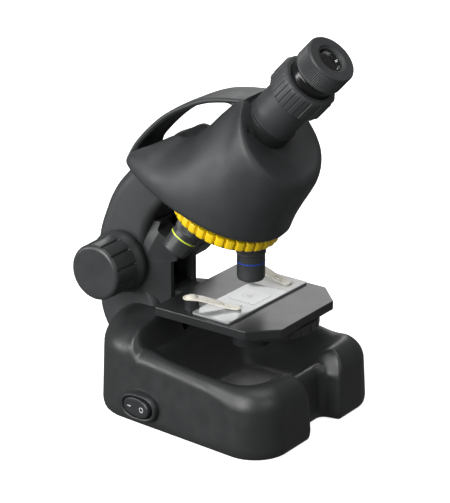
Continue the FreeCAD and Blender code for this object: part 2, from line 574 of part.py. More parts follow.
def knob(name, side):
    """A fluted focus knob on one side of the arm."""
    turn = Rotation(Vector(0, 1, 0), 90 * side)
    place = spot(side * dim("knob_inner_x"), dim("shaft_y"), dim("shaft_z"), turn)
    blank = make("Part::Cylinder", name + "_blank", place, Radius="dims.knob_radius",
                 Height="dims.knob_outer_x - dims.knob_inner_x")
    doc.recompute()
    outer = [i + 1 for i, edge in enumerate(blank.Shape.Edges)
             if edge.BoundBox.XLength < 0.01 and abs(edge.BoundBox.XMin) > dim("knob_outer_x") - 0.1]
    eased = make("Part::Fillet", name + "_eased", Base=blank, Edges=[(i, 4.0, 4.0) for i in outer])
    flange = rod(name + "_flange", FLANGE_RADIUS, FLANGE_LENGTH, place)
    cone = make("Part::Cone", name + "_cone", place.multiply(spot(0, 0, FLANGE_LENGTH)),
                Radius1=FLANGE_RADIUS, Radius2="dims.knob_radius", Height=FLANGE_LENGTH)
    flutes = []
    for i in range(12):
        around = place.multiply(Placement(Vector(0, 0, 0), Rotation(Vector(0, 0, 1), 30.0 * i)))
        flutes.append(block("%s_flute_%d" % (name, i), (15.6, -0.9, 2 * FLANGE_LENGTH), (18, 0.9, 22.5),
                            around))
    bore = rod(name + "_bore", "dims.shaft_radius", 24.4, place)
    return cut(name + "_cut", fuse(name + "_outer", eased, flange, cone), bore, *flutes)


node(knob("left_knob", -1), "focus_knob_left")
node(knob("right_knob", 1), "focus_knob_right")

# ---------------------------------------------------------------- stage
stage_low = dim("stage_top") - dim("stage_thickness")
stage_body = doc.addObject("PartDesign::Body", "stage_body")
ground_plane = next(f for f in stage_body.Origin.OriginFeatures if f.Role == "XY_Plane")
stage_outline = mirrored([(dim("stage_half_width"), 38.4, 2), (dim("stage_half_width"), -24.1, 2),
                          (25.6, -39.0, 1.5)])


def body_sketch(name, pieces, height):
    drawing = stage_body.newObject("Sketcher::SketchObject", name)
    drawing.AttachmentSupport = (ground_plane, [""])
    drawing.MapMode = "FlatFace"
    drawing.AttachmentOffset = Placement(Vector(0, 0, height), UPRIGHT)
    drawing.addGeometry(pieces, False)
    return drawing


plate_sketch = body_sketch("plate_sketch", rounded(stage_outline), stage_low)
plate_pad = stage_body.newObject("PartDesign::Pad", "plate_pad")
plate_pad.Profile = plate_sketch
plate_pad.setExpression("Length", "dims.stage_thickness")
relief_outline = mirrored([(dim("stage_half_width") - 2.2, 36.2, 1),
                           (dim("stage_half_width") - 2.2, -23.2, 1),
                           (24.7, -36.8, 1)])
relief_sketch = body_sketch("relief_sketch", rounded(relief_outline), stage_low)
relief = stage_body.newObject("PartDesign::Pocket", "plate_relief")
relief.Profile = relief_sketch
relief.Length = 2.8
relief.Reversed = True
light_sketch = body_sketch("light_sketch", [Part.Circle(Vector(0, 0, 0), Vector(0, 0, 1), 7.0)], stage_low)
light_hole = stage_body.newObject("PartDesign::Pocket", "light_hole")
light_hole.Profile = light_sketch
light_hole.Type = "ThroughAll"
light_hole.Reversed = True
stage_body.Tip = light_hole
doc.recompute()
tongue_gap = block("tongue_gap", (-9.0, 34, stage_low - 0.1), (9.0, 40, stage_low + 2.8))
post_seats = [rod("post_seat_%d" % i, 1.6, 10, spot(x, dim("post_y"), 60))
              for i, x in enumerate((-dim("post_x"), dim("post_x")))]
node(cut("stage_cut", stage_body, tongue_gap, *post_seats), "stage_plate")

ceiling = stage_low + 2.8
CARRIAGE_HALF = dim("slot_half_width") - 0.4
carriage_arm = block("carriage_arm", (-CARRIAGE_HALF, 22, 57), (CARRIAGE_HALF, 50, ceiling))
carriage_block = block("carriage_block", (-CARRIAGE_HALF, 49, 50), (CARRIAGE_HALF, RACK_BACK, 66.5))
carriage_bores = [rod("carriage_bore_%d" % i, 1.58, 40, spot(x, ROD_Y, 40))
                  for i, x in enumerate((-ROD_X, ROD_X))]
node(cut("carriage_cut", fuse("carriage_blank", carriage_arm, carriage_block), *carriage_bores),
     "stage_carriage")

posts = []
for i, x in enumerate((-dim("post_x"), dim("post_x"))):
    foot = rod("post_foot_%d" % i, 4.3, 2.8, spot(x, dim("post_y"), dim("stage_top")))
    neck = make("Part::Cylinder", "post_neck_%d" % i, spot(x, dim("post_y"), dim("stage_top")), Radius=3.9,
                Height="dims.post_height")
    pin = rod("post_pin_%d" % i, 1.6, 9.8, spot(x, dim("post_y"), ceiling))
    posts.append(fuse("post_%d" % i, foot, neck, pin))
node(group("post_group", *posts), "clip_posts")
post_top = dim("stage_top") + dim("post_height")
caps = []
for i, x in enumerate((-dim("post_x"), dim("post_x"))):
    dome = make("Part::Sphere", "clip_cap_dome_%d" % i, spot(x, dim("post_y"), post_top - 2.2), Radius=5.2)
    shell = rod("clip_cap_disc_%d" % i, 3.7, 2.4, spot(x, dim("post_y"), post_top + 1.0))
    caps.append(cut("clip_cap_%d" % i, common("clip_cap_blank_%d" % i, dome, shell),
                    rod("clip_cap_bore_%d" % i, 1.6, 1.1, spot(x, dim("post_y"), post_top + 0.6))))
node(group("clip_cap_group", *caps), "clip_screws")

CLIP_THICKNESS = 0.8
CLIP_PATH = [(-5, post_top + 0.1), (4.5, post_top + 0.1), (22.5, dim("stage_top") + 1.65),
             (27.5, dim("stage_top") + 3.6)]


def clip(name, x, angle):
    """A springy steel strip that turns on its post and reaches down to the slide."""
    upper = [(u, z + CLIP_THICKNESS, 0) for u, z in reversed(CLIP_PATH)]
    profile = rounded([(u, z, 0) for u, z in CLIP_PATH] + upper)
    strip = extrude(name + "_strip", profile, spot(0, 0, 0, Rotation(Vector(1, 0, 0), 90)), 5, 5)
    plan = plan_extrude(name + "_plan", [(-3.9, -3.3, 3.2), (26.8, -2.6, 1.2), (26.8, 2.6, 1.2),
                                         (-3.9, 3.3, 3.2)], 60, 80)
    pivot = rod(name + "_pivot", 1.65, 30, spot(0, 0, 60))
    window = plan_extrude(name + "_window", [(15.5, 0, 0.6), (18.0, -1.3, 0.8), (20.5, 0, 0.6),
                                             (18.0, 1.3, 0.8)], 60, 80)
    piece = cut(name + "_piece", common(name + "_blank", strip, plan), pivot, window)
    piece.Placement = spot(x, dim("post_y"), 0, Rotation(Vector(0, 0, 1), angle))
    return piece


LEFT_CLIP_ANGLE, RIGHT_CLIP_ANGLE = -62.0, -96.0
node(clip("left_clip", -dim("post_x"), LEFT_CLIP_ANGLE), "clip_left")
node(clip("right_clip", dim("post_x"), RIGHT_CLIP_ANGLE), "clip_right")

SLIDE_PLACE = Placement(Vector(0.8, 0.9, dim("stage_top")), Rotation(Vector(0, 0, 1), -1.2))
glass = make("Part::Box", "slide_glass", SLIDE_PLACE.multiply(spot(-38, -13, 0)), Length="dims.slide_length",
             Width="dims.slide_width", Height="dims.slide_thickness")
node(glass, "specimen_slide")
slide_top = dim("slide_thickness")
node(block("slide_label_sheet", (18.0, -12.2, slide_top), (37.2, 12.2, slide_top + 0.1), SLIDE_PLACE),
     "slide_label")
node(block("cover_slip", (-9, -9, slide_top), (9, 9, slide_top + 0.17), SLIDE_PLACE), "cover_glass")

# ---------------------------------------------------------------- filter wheel and lamp, below the stage
WHEEL_HOLES = 5
HOLE_CIRCLE = -dim("wheel_y")
wheel_low = dim("wheel_top") - dim("wheel_thickness")
wheel_place = Placement(Vector(0, dim("wheel_y"), wheel_low), UPRIGHT)
wheel_disc = make("Part::Cylinder", "wheel_disc", wheel_place, Radius="dims.wheel_radius",
                  Height="dims.wheel_thickness")
wheel_cuts = [rod("wheel_bore", 2.55, 10, wheel_place)]
filters = []
for i in range(WHEEL_HOLES):
    around = wheel_place.multiply(Placement(Vector(0, 0, 0),
                                            Rotation(Vector(0, 0, 1), 90 + 360.0 * i / WHEEL_HOLES)))
    wheel_cuts.append(rod("wheel_window_%d" % i, 3.6, 10, around.multiply(spot(HOLE_CIRCLE, 0, 0))))
    wheel_cuts.append(rod("wheel_seat_%d" % i, 4.4, 10, around.multiply(spot(HOLE_CIRCLE, 0, 2.6))))
    if i:
        filters.append(rod("filter_%d" % i, 4.35, 1.2, around.multiply(spot(HOLE_CIRCLE, 0, 2.6))))
for i in range(24):
    around = wheel_place.multiply(Placement(Vector(0, 0, 0), Rotation(Vector(0, 0, 1), 15.0 * i)))
    wheel_cuts.append(rod("wheel_notch_%d" % i, 1.3, 12,
                          around.multiply(spot(dim("wheel_radius") + 0.5, 0, 0))))
node(cut("wheel_cut", wheel_disc, *wheel_cuts), "filter_wheel")
node(group("filter_group", *filters), "colour_filters")
pivot_stem = rod("pivot_stem", 2.5, ceiling - 56.4, spot(0, dim("wheel_y"), 56.4))
pivot_head = rod("pivot_head", 5.0, 1.5, spot(0, dim("wheel_y"), 55.4))
node(fuse("pivot_body", pivot_stem, pivot_head), "wheel_pivot")

LAMP_LOW, LAMP_HIGH = 42.0, 55.2
lamp_cup = make("Part::Cylinder", "lamp_cup", spot(0, 0, LAMP_LOW), Radius="dims.lamp_radius",
                Height=LAMP_HIGH - LAMP_LOW)
lamp_foot = block("lamp_foot", (-7, 5, 47), (7, 30, 51))
lamp_strut = block("lamp_strut", (-7, 24, 50), (7, 30, 57))
lamp_room = rod("lamp_room", "dims.lamp_radius - 1.8", 20, spot(0, 0, LAMP_LOW + 1.8))
node(cut("lamp_cut", fuse("lamp_blank", lamp_cup, lamp_foot, lamp_strut), lamp_room), "lamp_housing")
led_board = rod("led_board", 9.2, 1.4, spot(0, 0, LAMP_LOW + 1.8))
led_base = rod("led_base", 2.9, 2.2, spot(0, 0, LAMP_LOW + 3.0))
led_stem = rod("led_stem", 2.5, 5.2, spot(0, 0, LAMP_LOW + 3.0))
led_tip = make("Part::Sphere", "led_tip", spot(0, 0, LAMP_LOW + 8.2), Radius=2.5)
node(fuse("led_body", led_board, led_base, led_stem, led_tip), "led_lamp")
node(rod("lamp_lens_disc", 9.2, 1.6, spot(0, 0, LAMP_HIGH - 2.0)), "lamp_lens")

# ---------------------------------------------------------------- turret and objectives
RING_HALF = dim("turret_ring_height") / 2
disc_low, disc_high = -4.0, 3.0
disc_plain = rod("disc_plain", 27.4, disc_high - disc_low, spot(0, 0, disc_low, frame=TURRET))
ring_blank = make("Part::Cylinder", "ring_blank", spot(0, 0, -RING_HALF, frame=TURRET),
                  Radius="dims.turret_ring_radius",
                  Height="dims.turret_ring_height")
ring_bore = rod("ring_bore", 27.4, 20, spot(0, 0, -10, frame=TURRET))
RING_TEETH = 32
ring_notches = []
for i in range(RING_TEETH):
    around = TURRET.multiply(Placement(Vector(0, 0, 0), Rotation(Vector(0, 0, 1), 360.0 * i / RING_TEETH)))
    ring_notches.append(rod("ring_notch_%d" % i, 1.8, 12,
                            around.multiply(spot(dim("turret_ring_radius") + 0.9, 0, -6))))
node(cut("ring_cut", ring_blank, ring_bore, *ring_notches), "turret_ring")

OBJECTIVES = [("high", -90.0, 27.5), ("mid", 150.0, 26.0), ("low", 30.0, 20.0)]
BAND_START, BAND_WIDTH = 16.4, 1.4
disc_cuts = [rod("disc_bore", 4.05, 20, spot(0, 0, -10, frame=TURRET))]
lenses = []
for label, angle, length in OBJECTIVES:
    around = TURRET.multiply(Placement(Vector(0, 0, 0), Rotation(Vector(0, 0, 1), angle)))
    outward = Placement(Vector(dim("objective_offset"), 0, 0),
                        Rotation(Vector(0, 1, 0), 180 - dim("turret_tilt")))
    place = around.multiply(outward)
    disc_cuts.append(rod("disc_seat_" + label, 6.9, 20, place.multiply(spot(0, 0, -9))))
    stub = rod("stub_" + label, 6.85, 9, place.multiply(spot(0, 0, -1)))
    collar = rod("collar_" + label, 8.6, 8.4, place.multiply(spot(0, 0, 1.6)))
    barrel = make("Part::Cylinder", "barrel_" + label, place.multiply(spot(0, 0, 8)),
                  Radius="dims.objective_radius",
                  Height=length - 10)
    nose = make("Part::Cone", "nose_" + label, place.multiply(spot(0, 0, length - 2)),
                Radius1=dim("objective_radius"),
                Radius2=6.0, Height=2.0)
    outside = cut("outside_" + label, fuse("outside_blank_" + label, collar, barrel, nose), disc_plain,
                  ring_blank)
    bore = rod("objective_bore_" + label, 4.6, 60, place.multiply(spot(0, 0, -5)))
    node(cut("objective_cut_" + label, fuse("objective_blank_" + label, stub, outside), bore),
         "objective_" + label)
    band_outer = rod("band_outer_" + label, "dims.objective_radius + 0.25", BAND_WIDTH,
                     place.multiply(spot(0, 0, BAND_START)))
    band_inner = rod("band_inner_" + label, "dims.objective_radius + 0.02", 20, place.multiply(spot(0, 0, 6)))
    node(cut("band_cut_" + label, band_outer, band_inner), "band_" + label)
    lenses.append(rod("lens_" + label, 4.55, 2.0, place.multiply(spot(0, 0, length - 2.6))))
node(cut("disc_cut", disc_plain, *disc_cuts), "turret_disc")
node(group("lens_group", *lenses), "objective_lenses")

# ---------------------------------------------------------------- check and write
doc.recompute()
failed = ["%s: %s" % (obj.Name, obj.getStatusString()) for obj in doc.Objects
          if "Invalid" in obj.State or "Error" in obj.State]
if failed:
    raise RuntimeError("not built: " + "; ".join(failed))
os.makedirs("parts", exist_ok=True)
for name, obj in NODES.items():
    shape = obj.Shape
    if shape.isNull() or not shape.isValid() or not shape.Solids:
        raise RuntimeError("%s has no valid solid" % name)
for name, obj in NODES.items():
    obj.Shape.exportStep("parts/%s.step" % name)
    box = obj.Shape.BoundBox
    print("%-20s %2d solid %10.1f mm3  x %7.1f %7.1f  y %7.1f %7.1f  z %7.1f %7.1f" % (
        name, len(obj.Shape.Solids), obj.Shape.Volume, box.XMin, box.XMax, box.YMin, box.YMax, box.ZMin, box.ZMax))
print(len(NODES), "nodes")
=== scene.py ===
import json
import math

import bmesh
import bpy
import numpy as np
from mathutils import Matrix, Vector


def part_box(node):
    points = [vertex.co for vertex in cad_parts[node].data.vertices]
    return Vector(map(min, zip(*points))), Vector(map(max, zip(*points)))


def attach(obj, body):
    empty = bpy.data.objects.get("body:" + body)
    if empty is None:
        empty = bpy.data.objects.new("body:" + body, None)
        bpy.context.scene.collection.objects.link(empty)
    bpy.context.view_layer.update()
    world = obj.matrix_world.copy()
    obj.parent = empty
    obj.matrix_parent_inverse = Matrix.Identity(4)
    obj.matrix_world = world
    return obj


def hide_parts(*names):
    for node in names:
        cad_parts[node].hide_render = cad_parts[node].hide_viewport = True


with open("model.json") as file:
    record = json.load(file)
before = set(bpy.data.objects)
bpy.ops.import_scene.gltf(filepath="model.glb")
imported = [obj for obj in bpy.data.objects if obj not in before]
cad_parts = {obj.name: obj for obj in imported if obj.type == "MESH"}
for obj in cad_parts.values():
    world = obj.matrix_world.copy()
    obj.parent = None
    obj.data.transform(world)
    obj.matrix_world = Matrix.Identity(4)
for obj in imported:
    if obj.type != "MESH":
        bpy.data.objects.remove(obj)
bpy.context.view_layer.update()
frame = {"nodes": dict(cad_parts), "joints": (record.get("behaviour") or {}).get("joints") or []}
nodes = frame["nodes"]
joints = {j["name"]: j for j in frame["joints"]}
MM = 0.001
SHARP_ANGLE = 35      # degrees between two faces that make an edge


# ---------------------------------------------------------------- shape helpers, in millimetres

def ramp(value, start, end):
    """0 before start, 1 after end, and smooth between."""
    t = np.clip((np.asarray(value, float) - start) / (end - start), 0.0, 1.0)
    return t * t * (3 - 2 * t)


def mix(a, b, t):
    return a + (b - a) * t


def rounded(corners, step=1.0, closed=True):
    """A polygon of (x, y, radius) corners with its corners rounded, sampled about every step."""
    places = [np.array(c[:2], float) for c in corners]
    count = len(places)
    pieces = []
    for i, corner in enumerate(corners):
        here = places[i]
        if not closed and i in (0, count - 1) or corner[2] <= 0:
            pieces.append([here])
            continue
        back, ahead = places[i - 1] - here, places[(i + 1) % count] - here
        length_back, length_ahead = np.linalg.norm(back), np.linalg.norm(ahead)
        back, ahead = back / length_back, ahead / length_ahead
        angle = math.acos(np.clip(back @ ahead, -0.9999, 0.9999))
        reach = min(corner[2] / math.tan(angle / 2), 0.49 * length_back, 0.49 * length_ahead)
        radius = reach * math.tan(angle / 2)
        middle = back + ahead
        centre = here + middle / np.linalg.norm(middle) * radius / math.sin(angle / 2)
        first, last = (here + back * reach - centre) / radius, (here + ahead * reach - centre) / radius
        sweep = math.pi - angle
        steps = max(2, math.ceil(radius * sweep / step))
        pieces.append([centre + radius * (math.sin((1 - t) * sweep) * first + math.sin(t * sweep) * last)
                       / math.sin(sweep) for t in np.linspace(0, 1, steps + 1)])
    points = []
    for i, run in enumerate(pieces):
        points.extend(run)
        if i == count - 1 and not closed:
            break
        gap = pieces[(i + 1) % count][0] - run[-1]
        steps = int(np.linalg.norm(gap) / step)
        points.extend(run[-1] + gap * k / (steps + 1) for k in range(1, steps + 1))
    return np.array(points)


def resample(points, count, closed=False):
    """The same line with evenly spaced points."""
    points = np.asarray(points, float)
    if closed:
        points = np.vstack([points, points[:1]])
    run = np.concatenate([[0], np.cumsum(np.linalg.norm(np.diff(points, axis=0), axis=1))])
    wanted = np.linspace(0, run[-1], count + 1)[:-1] if closed else np.linspace(0, run[-1], count)
    return np.column_stack([np.interp(wanted, run, points[:, k]) for k in range(points.shape[1])])


def spline(points, per_span=12):
    """A smooth line through every point, with per_span steps between two of them."""
    points = np.asarray(points, float)
    ends = np.vstack([2 * points[0] - points[1], points, 2 * points[-1] - points[-2]])
    out = []
    for i in range(1, len(ends) - 2):
        a, b, c, d = ends[i - 1:i + 3]
        for t in np.arange(per_span) / per_span:
            out.append(0.5 * (2 * b + (c - a) * t + (2 * a - 5 * b + 4 * c - d) * t ** 2
                              + (3 * b - a - 3 * c + d) * t ** 3))
    return np.array(out + [points[-1]])


def normal_at(line, i):
    """The unit normal of a plane line at its point i, to the left of the way it runs."""
    a, b = line[max(i - 1, 0)], line[min(i + 1, len(line) - 1)]
    run = (b - a) / np.linalg.norm(b - a)
    return np.array([-run[1], run[0]])


def offset(outline, distance):
    """A closed anticlockwise outline moved inwards."""
    tangent = np.roll(outline, -1, axis=0) - np.roll(outline, 1, axis=0)
    tangent /= np.linalg.norm(tangent, axis=1)[:, None]
    return outline + distance * np.column_stack([-tangent[:, 1], tangent[:, 0]])


def skin(rows, loop=True, first=False, last=False):
    """A shape, as points and faces, from rows of points.

    loop joins the two ends of every row; first and last close the shape over those rows.
    """
    rows = [np.asarray(r, float) for r in rows]
    width = len(rows[0])
    faces = []
    for start in range(0, (len(rows) - 1) * width, width):
        for j in range(width if loop else width - 1):
            k = (j + 1) % width
            faces.append((start + j, start + k, start + width + k, start + width + j))
    if first:
        faces.append(tuple(reversed(range(width))))
    if last:
        faces.append(tuple(range((len(rows) - 1) * width, len(rows) * width)))
    return np.vstack(rows), faces


def around(count):
    """Angles evenly spaced round a circle."""
    return np.arange(count) * 2 * math.pi / count


def turned(profile, segments=96, shape=None):
    """A shape turned about +Z from (radius, height) points.

    shape(angles, radius, height) gives the radius at each angle, where it isn't the same all round.
    """
    angles = around(segments)
    rows = []
    for radius, height in profile:
        reach = np.zeros(segments) + (shape(angles, radius, height) if shape else radius)
        rows.append(np.column_stack([reach * np.cos(angles), reach * np.sin(angles),
                                     np.full(segments, height)]))
    return skin(rows)


def flat(points, axis, value):
    """2D points as 3D ones, at one value along axis."""
    return np.insert(np.asarray(points, float), axis, value, axis=1)


def flipped(shape):
    """The shape mirrored left to right."""
    points, faces = shape
    return points * (-1, 1, 1), [tuple(reversed(f)) for f in faces]


def placed(shape, place):
    """The shape moved by the matrix place."""
    points, faces = shape
    turn, shift = np.array(place.to_3x3()), np.array(place.translation)
    return points @ turn.T + shift, faces


def frame_along(origin, axis, side=(1, 0, 0)):
    """A matrix that takes +Z to axis and keeps +X near side."""
    z = Vector(axis).normalized()
    x = (Vector(side) - Vector(side).dot(z) * z).normalized()
    y = z.cross(x)
    return Matrix.Translation(Vector(origin)) @ Matrix((x, y, z)).transposed().to_4x4()


def box_shape(low, high):
    """A box between two corners."""
    (a, b, c), (d, e, f) = low, high
    ring = [(a, b), (d, b), (d, e), (a, e)]
    return skin([flat(ring, 2, c), flat(ring, 2, f)], first=True, last=True)


def along_x(radius, y, z, start, end, segments=40):
    """A closed cylinder along X."""
    points, faces = turned([(radius, start), (radius, end)], segments)
    ends = [tuple(reversed(range(segments))), tuple(range(segments, 2 * segments))]
    return placed((points, faces + ends), frame_along((0, y, z), (1, 0, 0), (0, 1, 0)))


def make_object(name, shape):
    """A mesh object from a shape, with doubled points merged and its faces turned outwards."""
    points, faces = shape
    mesh = bpy.data.meshes.new(name)
    mesh.from_pydata((np.asarray(points) * MM).tolist(), [], [tuple(int(i) for i in f) for f in faces])
    bm = bmesh.new()
    bm.from_mesh(mesh)
    bmesh.ops.remove_doubles(bm, verts=bm.verts, dist=2e-6)
    bmesh.ops.dissolve_degenerate(bm, dist=1e-6, edges=bm.edges)
    bmesh.ops.recalc_face_normals(bm, faces=bm.faces)
    bm.to_mesh(mesh)
    bm.free()
    obj = bpy.data.objects.new(name, mesh)
    bpy.context.scene.collection.objects.link(obj)
    return obj


def settle(obj):
    """Applies the object's modifiers to its mesh."""
    graph = bpy.context.evaluated_depsgraph_get()
    mesh = bpy.data.meshes.new_from_object(obj.evaluated_get(graph))
    obj.modifiers.clear()
    old, obj.data = obj.data, mesh
    name = old.name
    bpy.data.meshes.remove(old)
    mesh.name = name


def piece(name, shape, finish, body, replaced=(), crease=SHARP_ANGLE, cuts=(), wall=None,
          bevel=None):
    """A visible piece: its mesh, cut, walled and bevelled as asked, with its finish, riding on its body."""
    obj = make_object(name, shape)
    obj.data.materials.append(finish)
    tools = [make_object("cutting_tool", cut) for cut in cuts]
    for tool in tools:
        step = obj.modifiers.new("cut", "BOOLEAN")
        step.operation, step.solver, step.object = "DIFFERENCE", "EXACT", tool
    if wall:
        step = obj.modifiers.new("wall", "SOLIDIFY")
        step.thickness, step.offset, step.use_even_offset = wall * MM, -1, False
    if bevel:
        step = obj.modifiers.new("bevel", "BEVEL")
        step.width, step.segments, step.limit_method = bevel * MM, 3, "ANGLE"
        step.angle_limit = math.radians(SHARP_ANGLE)
        step.use_clamp_overlap = True
    if obj.modifiers:
        settle(obj)
    for tool in tools:
        bpy.data.objects.remove(tool)
    obj.data.shade_smooth()
    obj.data.set_sharp_from_angle(angle=math.radians(crease))
    step = obj.modifiers.new("normals", "WEIGHTED_NORMAL")
    step.keep_sharp = True
    settle(obj)
    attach(obj, body)
    if replaced:
        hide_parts(*replaced)
    return obj


# ---------------------------------------------------------------- finishes

class Finish:
    """A node material built from a few layers."""

    def __init__(self, name):
        self.material = bpy.data.materials.new(name)
        self.material.use_nodes = True
        self.tree = self.material.node_tree
        self.shader = self.tree.nodes["Principled BSDF"]
        self.where = self.tree.nodes.new("ShaderNodeTexCoord").outputs["Object"]
        self.normal = None

    def link(self, source, target):
        self.tree.links.new(source, target)

    def set(self, **values):
        for key, value in values.items():
            self.shader.inputs[key.replace("_", " ")].default_value = value
        return self

    def noise(self, size, detail=3.0, roughness=0.55, stretch=None):
        """A noise pattern whose cells are about size millimetres across."""
        node = self.tree.nodes.new("ShaderNodeTexNoise")
        node.inputs["Scale"].default_value = 1.0 / (size * MM)
        node.inputs["Detail"].default_value = detail
        node.inputs["Roughness"].default_value = roughness
        if stretch is None:
            self.link(self.where, node.inputs["Vector"])
        else:
            mapping = self.tree.nodes.new("ShaderNodeMapping")
            mapping.inputs["Scale"].default_value = stretch
            self.link(self.where, mapping.inputs["Vector"])
            self.link(mapping.outputs["Vector"], node.inputs["Vector"])
        return node.outputs["Fac"]

    def spread(self, source, low, high, start=0.3, end=0.7):
        """The source's range start to end mapped onto low to high."""
        node = self.tree.nodes.new("ShaderNodeMapRange")
        for key, value in (("From Min", start), ("From Max", end), ("To Min", low), ("To Max", high)):
            node.inputs[key].default_value = value
        self.link(source, node.inputs["Value"])
        return node.outputs["Result"]

    def blend(self, factor, one, two):
        """A mix of two colours, each a socket or a plain colour."""
        node = self.tree.nodes.new("ShaderNodeMix")
        node.data_type = "RGBA"
        for key, value in (("Factor", factor), ("A", one), ("B", two)):
            socket = [s for s in node.inputs if s.name == key and s.enabled][0]
            if isinstance(value, bpy.types.NodeSocket):
                self.link(value, socket)
            elif isinstance(value, (int, float)):
                socket.default_value = value
            else:
                socket.default_value = (*value, 1.0)
        return [s for s in node.outputs if s.enabled][0]

    def bump(self, height, strength, depth):
        """One more layer of relief, depth millimetres deep."""
        node = self.tree.nodes.new("ShaderNodeBump")
        node.inputs["Strength"].default_value = strength
        node.inputs["Distance"].default_value = depth * MM
        self.link(height, node.inputs["Height"])
        if self.normal is not None:
            self.link(self.normal, node.inputs["Normal"])
        self.normal = node.outputs["Normal"]
        return self

    def edges(self, low, high):
        """1 on convex edges and 0 elsewhere."""
        node = self.tree.nodes.new("ShaderNodeNewGeometry")
        return self.spread(node.outputs["Pointiness"], 0.0, 1.0, low, high)

    def done(self, colour, roughness):
        """Links what was built to the shader and gives the material."""
        self.link(colour, self.shader.inputs["Base Color"])
        self.link(roughness, self.shader.inputs["Roughness"])
        if self.normal is not None:
            self.link(self.normal, self.shader.inputs["Normal"])
        return self.material


def moulded(name, colour, rough=0.45, grain=0.35, relief=0.02, wear=0.12, spread=0.07):
    """Injection moulded plastic: a fine eroded grain, slow tone changes and paler rubbed edges."""
    f = Finish(name)
    deep = tuple(c * 0.82 for c in colour)
    pale = tuple(min(1.0, c * 1.18) for c in colour)
    tone = f.blend(f.spread(f.noise(22.0, 2.0), 0, 1), deep, pale)
    fleck = tuple(min(1.0, c * 1.35 + 0.004) for c in colour)
    rubbed = tuple(min(1.0, c * 1.6 + 0.02) for c in colour)
    speck = f.blend(f.spread(f.noise(grain * 1.6, 2.0), 0, 0.5), tone, fleck)
    mask = f.blend(f.spread(f.noise(6.0, 4.0), 0, 1, 0.42, 0.66), (0, 0, 0), (1, 1, 1))
    worn = f.blend(f.edges(0.53, 0.62), (0, 0, 0), mask)
    weight = f.spread(worn, 0.0, wear, 0.0, 1.0)
    final = f.blend(weight, speck, rubbed)
    roughness = f.spread(f.noise(9.0, 5.0), rough - spread, rough + spread, 0.3, 0.7)
    f.bump(f.noise(grain, 2.0, 0.6), 0.55, relief)
    f.bump(f.noise(14.0, 1.0), 0.35, 0.10)
    return f.done(final, roughness)


def metal(name, colour, rough=0.22, stretch=(1, 1, 60)):
    """Turned or rolled metal, with fine lines along one direction."""
    f = Finish(name)
    f.set(Metallic=1.0)
    tone = f.blend(f.spread(f.noise(5.0, 4.0), 0, 1), tuple(c * 0.86 for c in colour), colour)
    lines = f.noise(1.2, 3.0, 0.6, stretch)
    f.bump(lines, 0.25, 0.01)
    return f.done(tone, f.spread(lines, rough - 0.06, rough + 0.10))


def clear(name, tint=(1, 1, 1), rough=0.03, index=1.5):
    """Clear glass with faint smears."""
    f = Finish(name)
    f.set(Transmission_Weight=1.0, IOR=index)
    tone = f.blend(f.spread(f.noise(8.0, 2.0), 0, 1), tuple(c * 0.97 for c in tint), tint)
    smear = f.noise(3.0, 5.0)
    return f.done(tone, f.spread(smear, rough * 0.4, rough * 1.2))


charcoal = moulded("charcoal_plastic", (0.030, 0.0325, 0.0335), rough=0.49)
hood_charcoal = moulded("hood_charcoal", (0.0245, 0.0265, 0.0275), rough=0.5)
# The base's plastic is a darker copy of the charcoal: painted shade that keeps the base's walls and top as
# dark as if in shadow.
base_charcoal_painted_shade = moulded("base_charcoal_painted_shade", (0.0185, 0.0195, 0.02), rough=0.40)
smooth_charcoal = moulded("smooth_charcoal", (0.028, 0.030, 0.031), rough=0.36, relief=0.012)
black = moulded("black_plastic", (0.018, 0.019, 0.020), rough=0.34, relief=0.012, wear=0.15)
# Near black: the own colour of the hidden inner parts, and painted shade on the tube collar, where the well
# round the eyepiece tube lies in shade.
inside_black_and_painted_shade = moulded("inner_parts_black_and_painted_shade", (0.010, 0.0105, 0.011), rough=0.5, wear=0.05)
yellow = moulded("yellow_plastic", (0.76, 0.52, 0.006), rough=0.34, relief=0.008, wear=0.0,
                 spread=0.05)
steel = metal("polished_steel", (0.66, 0.65, 0.62))
glass = clear("glass")
rubber = moulded("rubber", (0.022, 0.022, 0.022), rough=0.75, grain=0.8, relief=0.06, wear=0.1)
blue = moulded("blue_paint", (0.012, 0.05, 0.30), rough=0.3, relief=0.004, wear=0.0)
lime = moulded("green_paint", (0.56, 0.68, 0.05), rough=0.3, relief=0.004, wear=0.0)
red = moulded("red_paint", (0.50, 0.02, 0.015), rough=0.3, relief=0.004, wear=0.0)
pale_mark = moulded("pale_mark", (0.52, 0.53, 0.53), rough=0.4, relief=0.004, wear=0.0)
nylon = moulded("nylon", (0.72, 0.71, 0.66), rough=0.4, relief=0.01, wear=0.05)
stage_black = moulded("stage_black", (0.013, 0.0138, 0.0142), rough=0.33, grain=0.5, relief=0.006,
                      spread=0.02)
gloss_black = moulded("gloss_black", (0.0045, 0.0048, 0.005), rough=0.2, grain=0.5, relief=0.003,
                      wear=0.0, spread=0.02)
label_paper = moulded("label_paper", (0.78, 0.78, 0.76), rough=0.7, grain=0.3, relief=0.01, wear=0.0)
# The clips' steel as a pale, barely glossy colour: painted sheen standing in for the bright reflections the
# metal would show.
painted_sheen_steel = moulded("painted_sheen_steel", (0.60, 0.575, 0.50), rough=0.3, grain=0.3, relief=0.003, wear=0.0)


MOUNTED_GLASS = (0.29, 0.3, 0.305)


def frosted(name, colour, rough=0.16):
    """Mounted glass over its pale backing: mostly a light grey with a clear gloss."""
    f = Finish(name)
    f.set(IOR=1.52, Coat_Weight=0.6, Coat_Roughness=0.06)
    smear = f.noise(7.0, 4.0)
    tone = f.blend(f.spread(smear, 0, 1), tuple(c * 0.9 for c in colour), colour)
    f.bump(f.noise(9.0, 1.0), 0.1, 0.02)
    return f.done(tone, f.spread(smear, rough * 0.7, rough * 1.5))


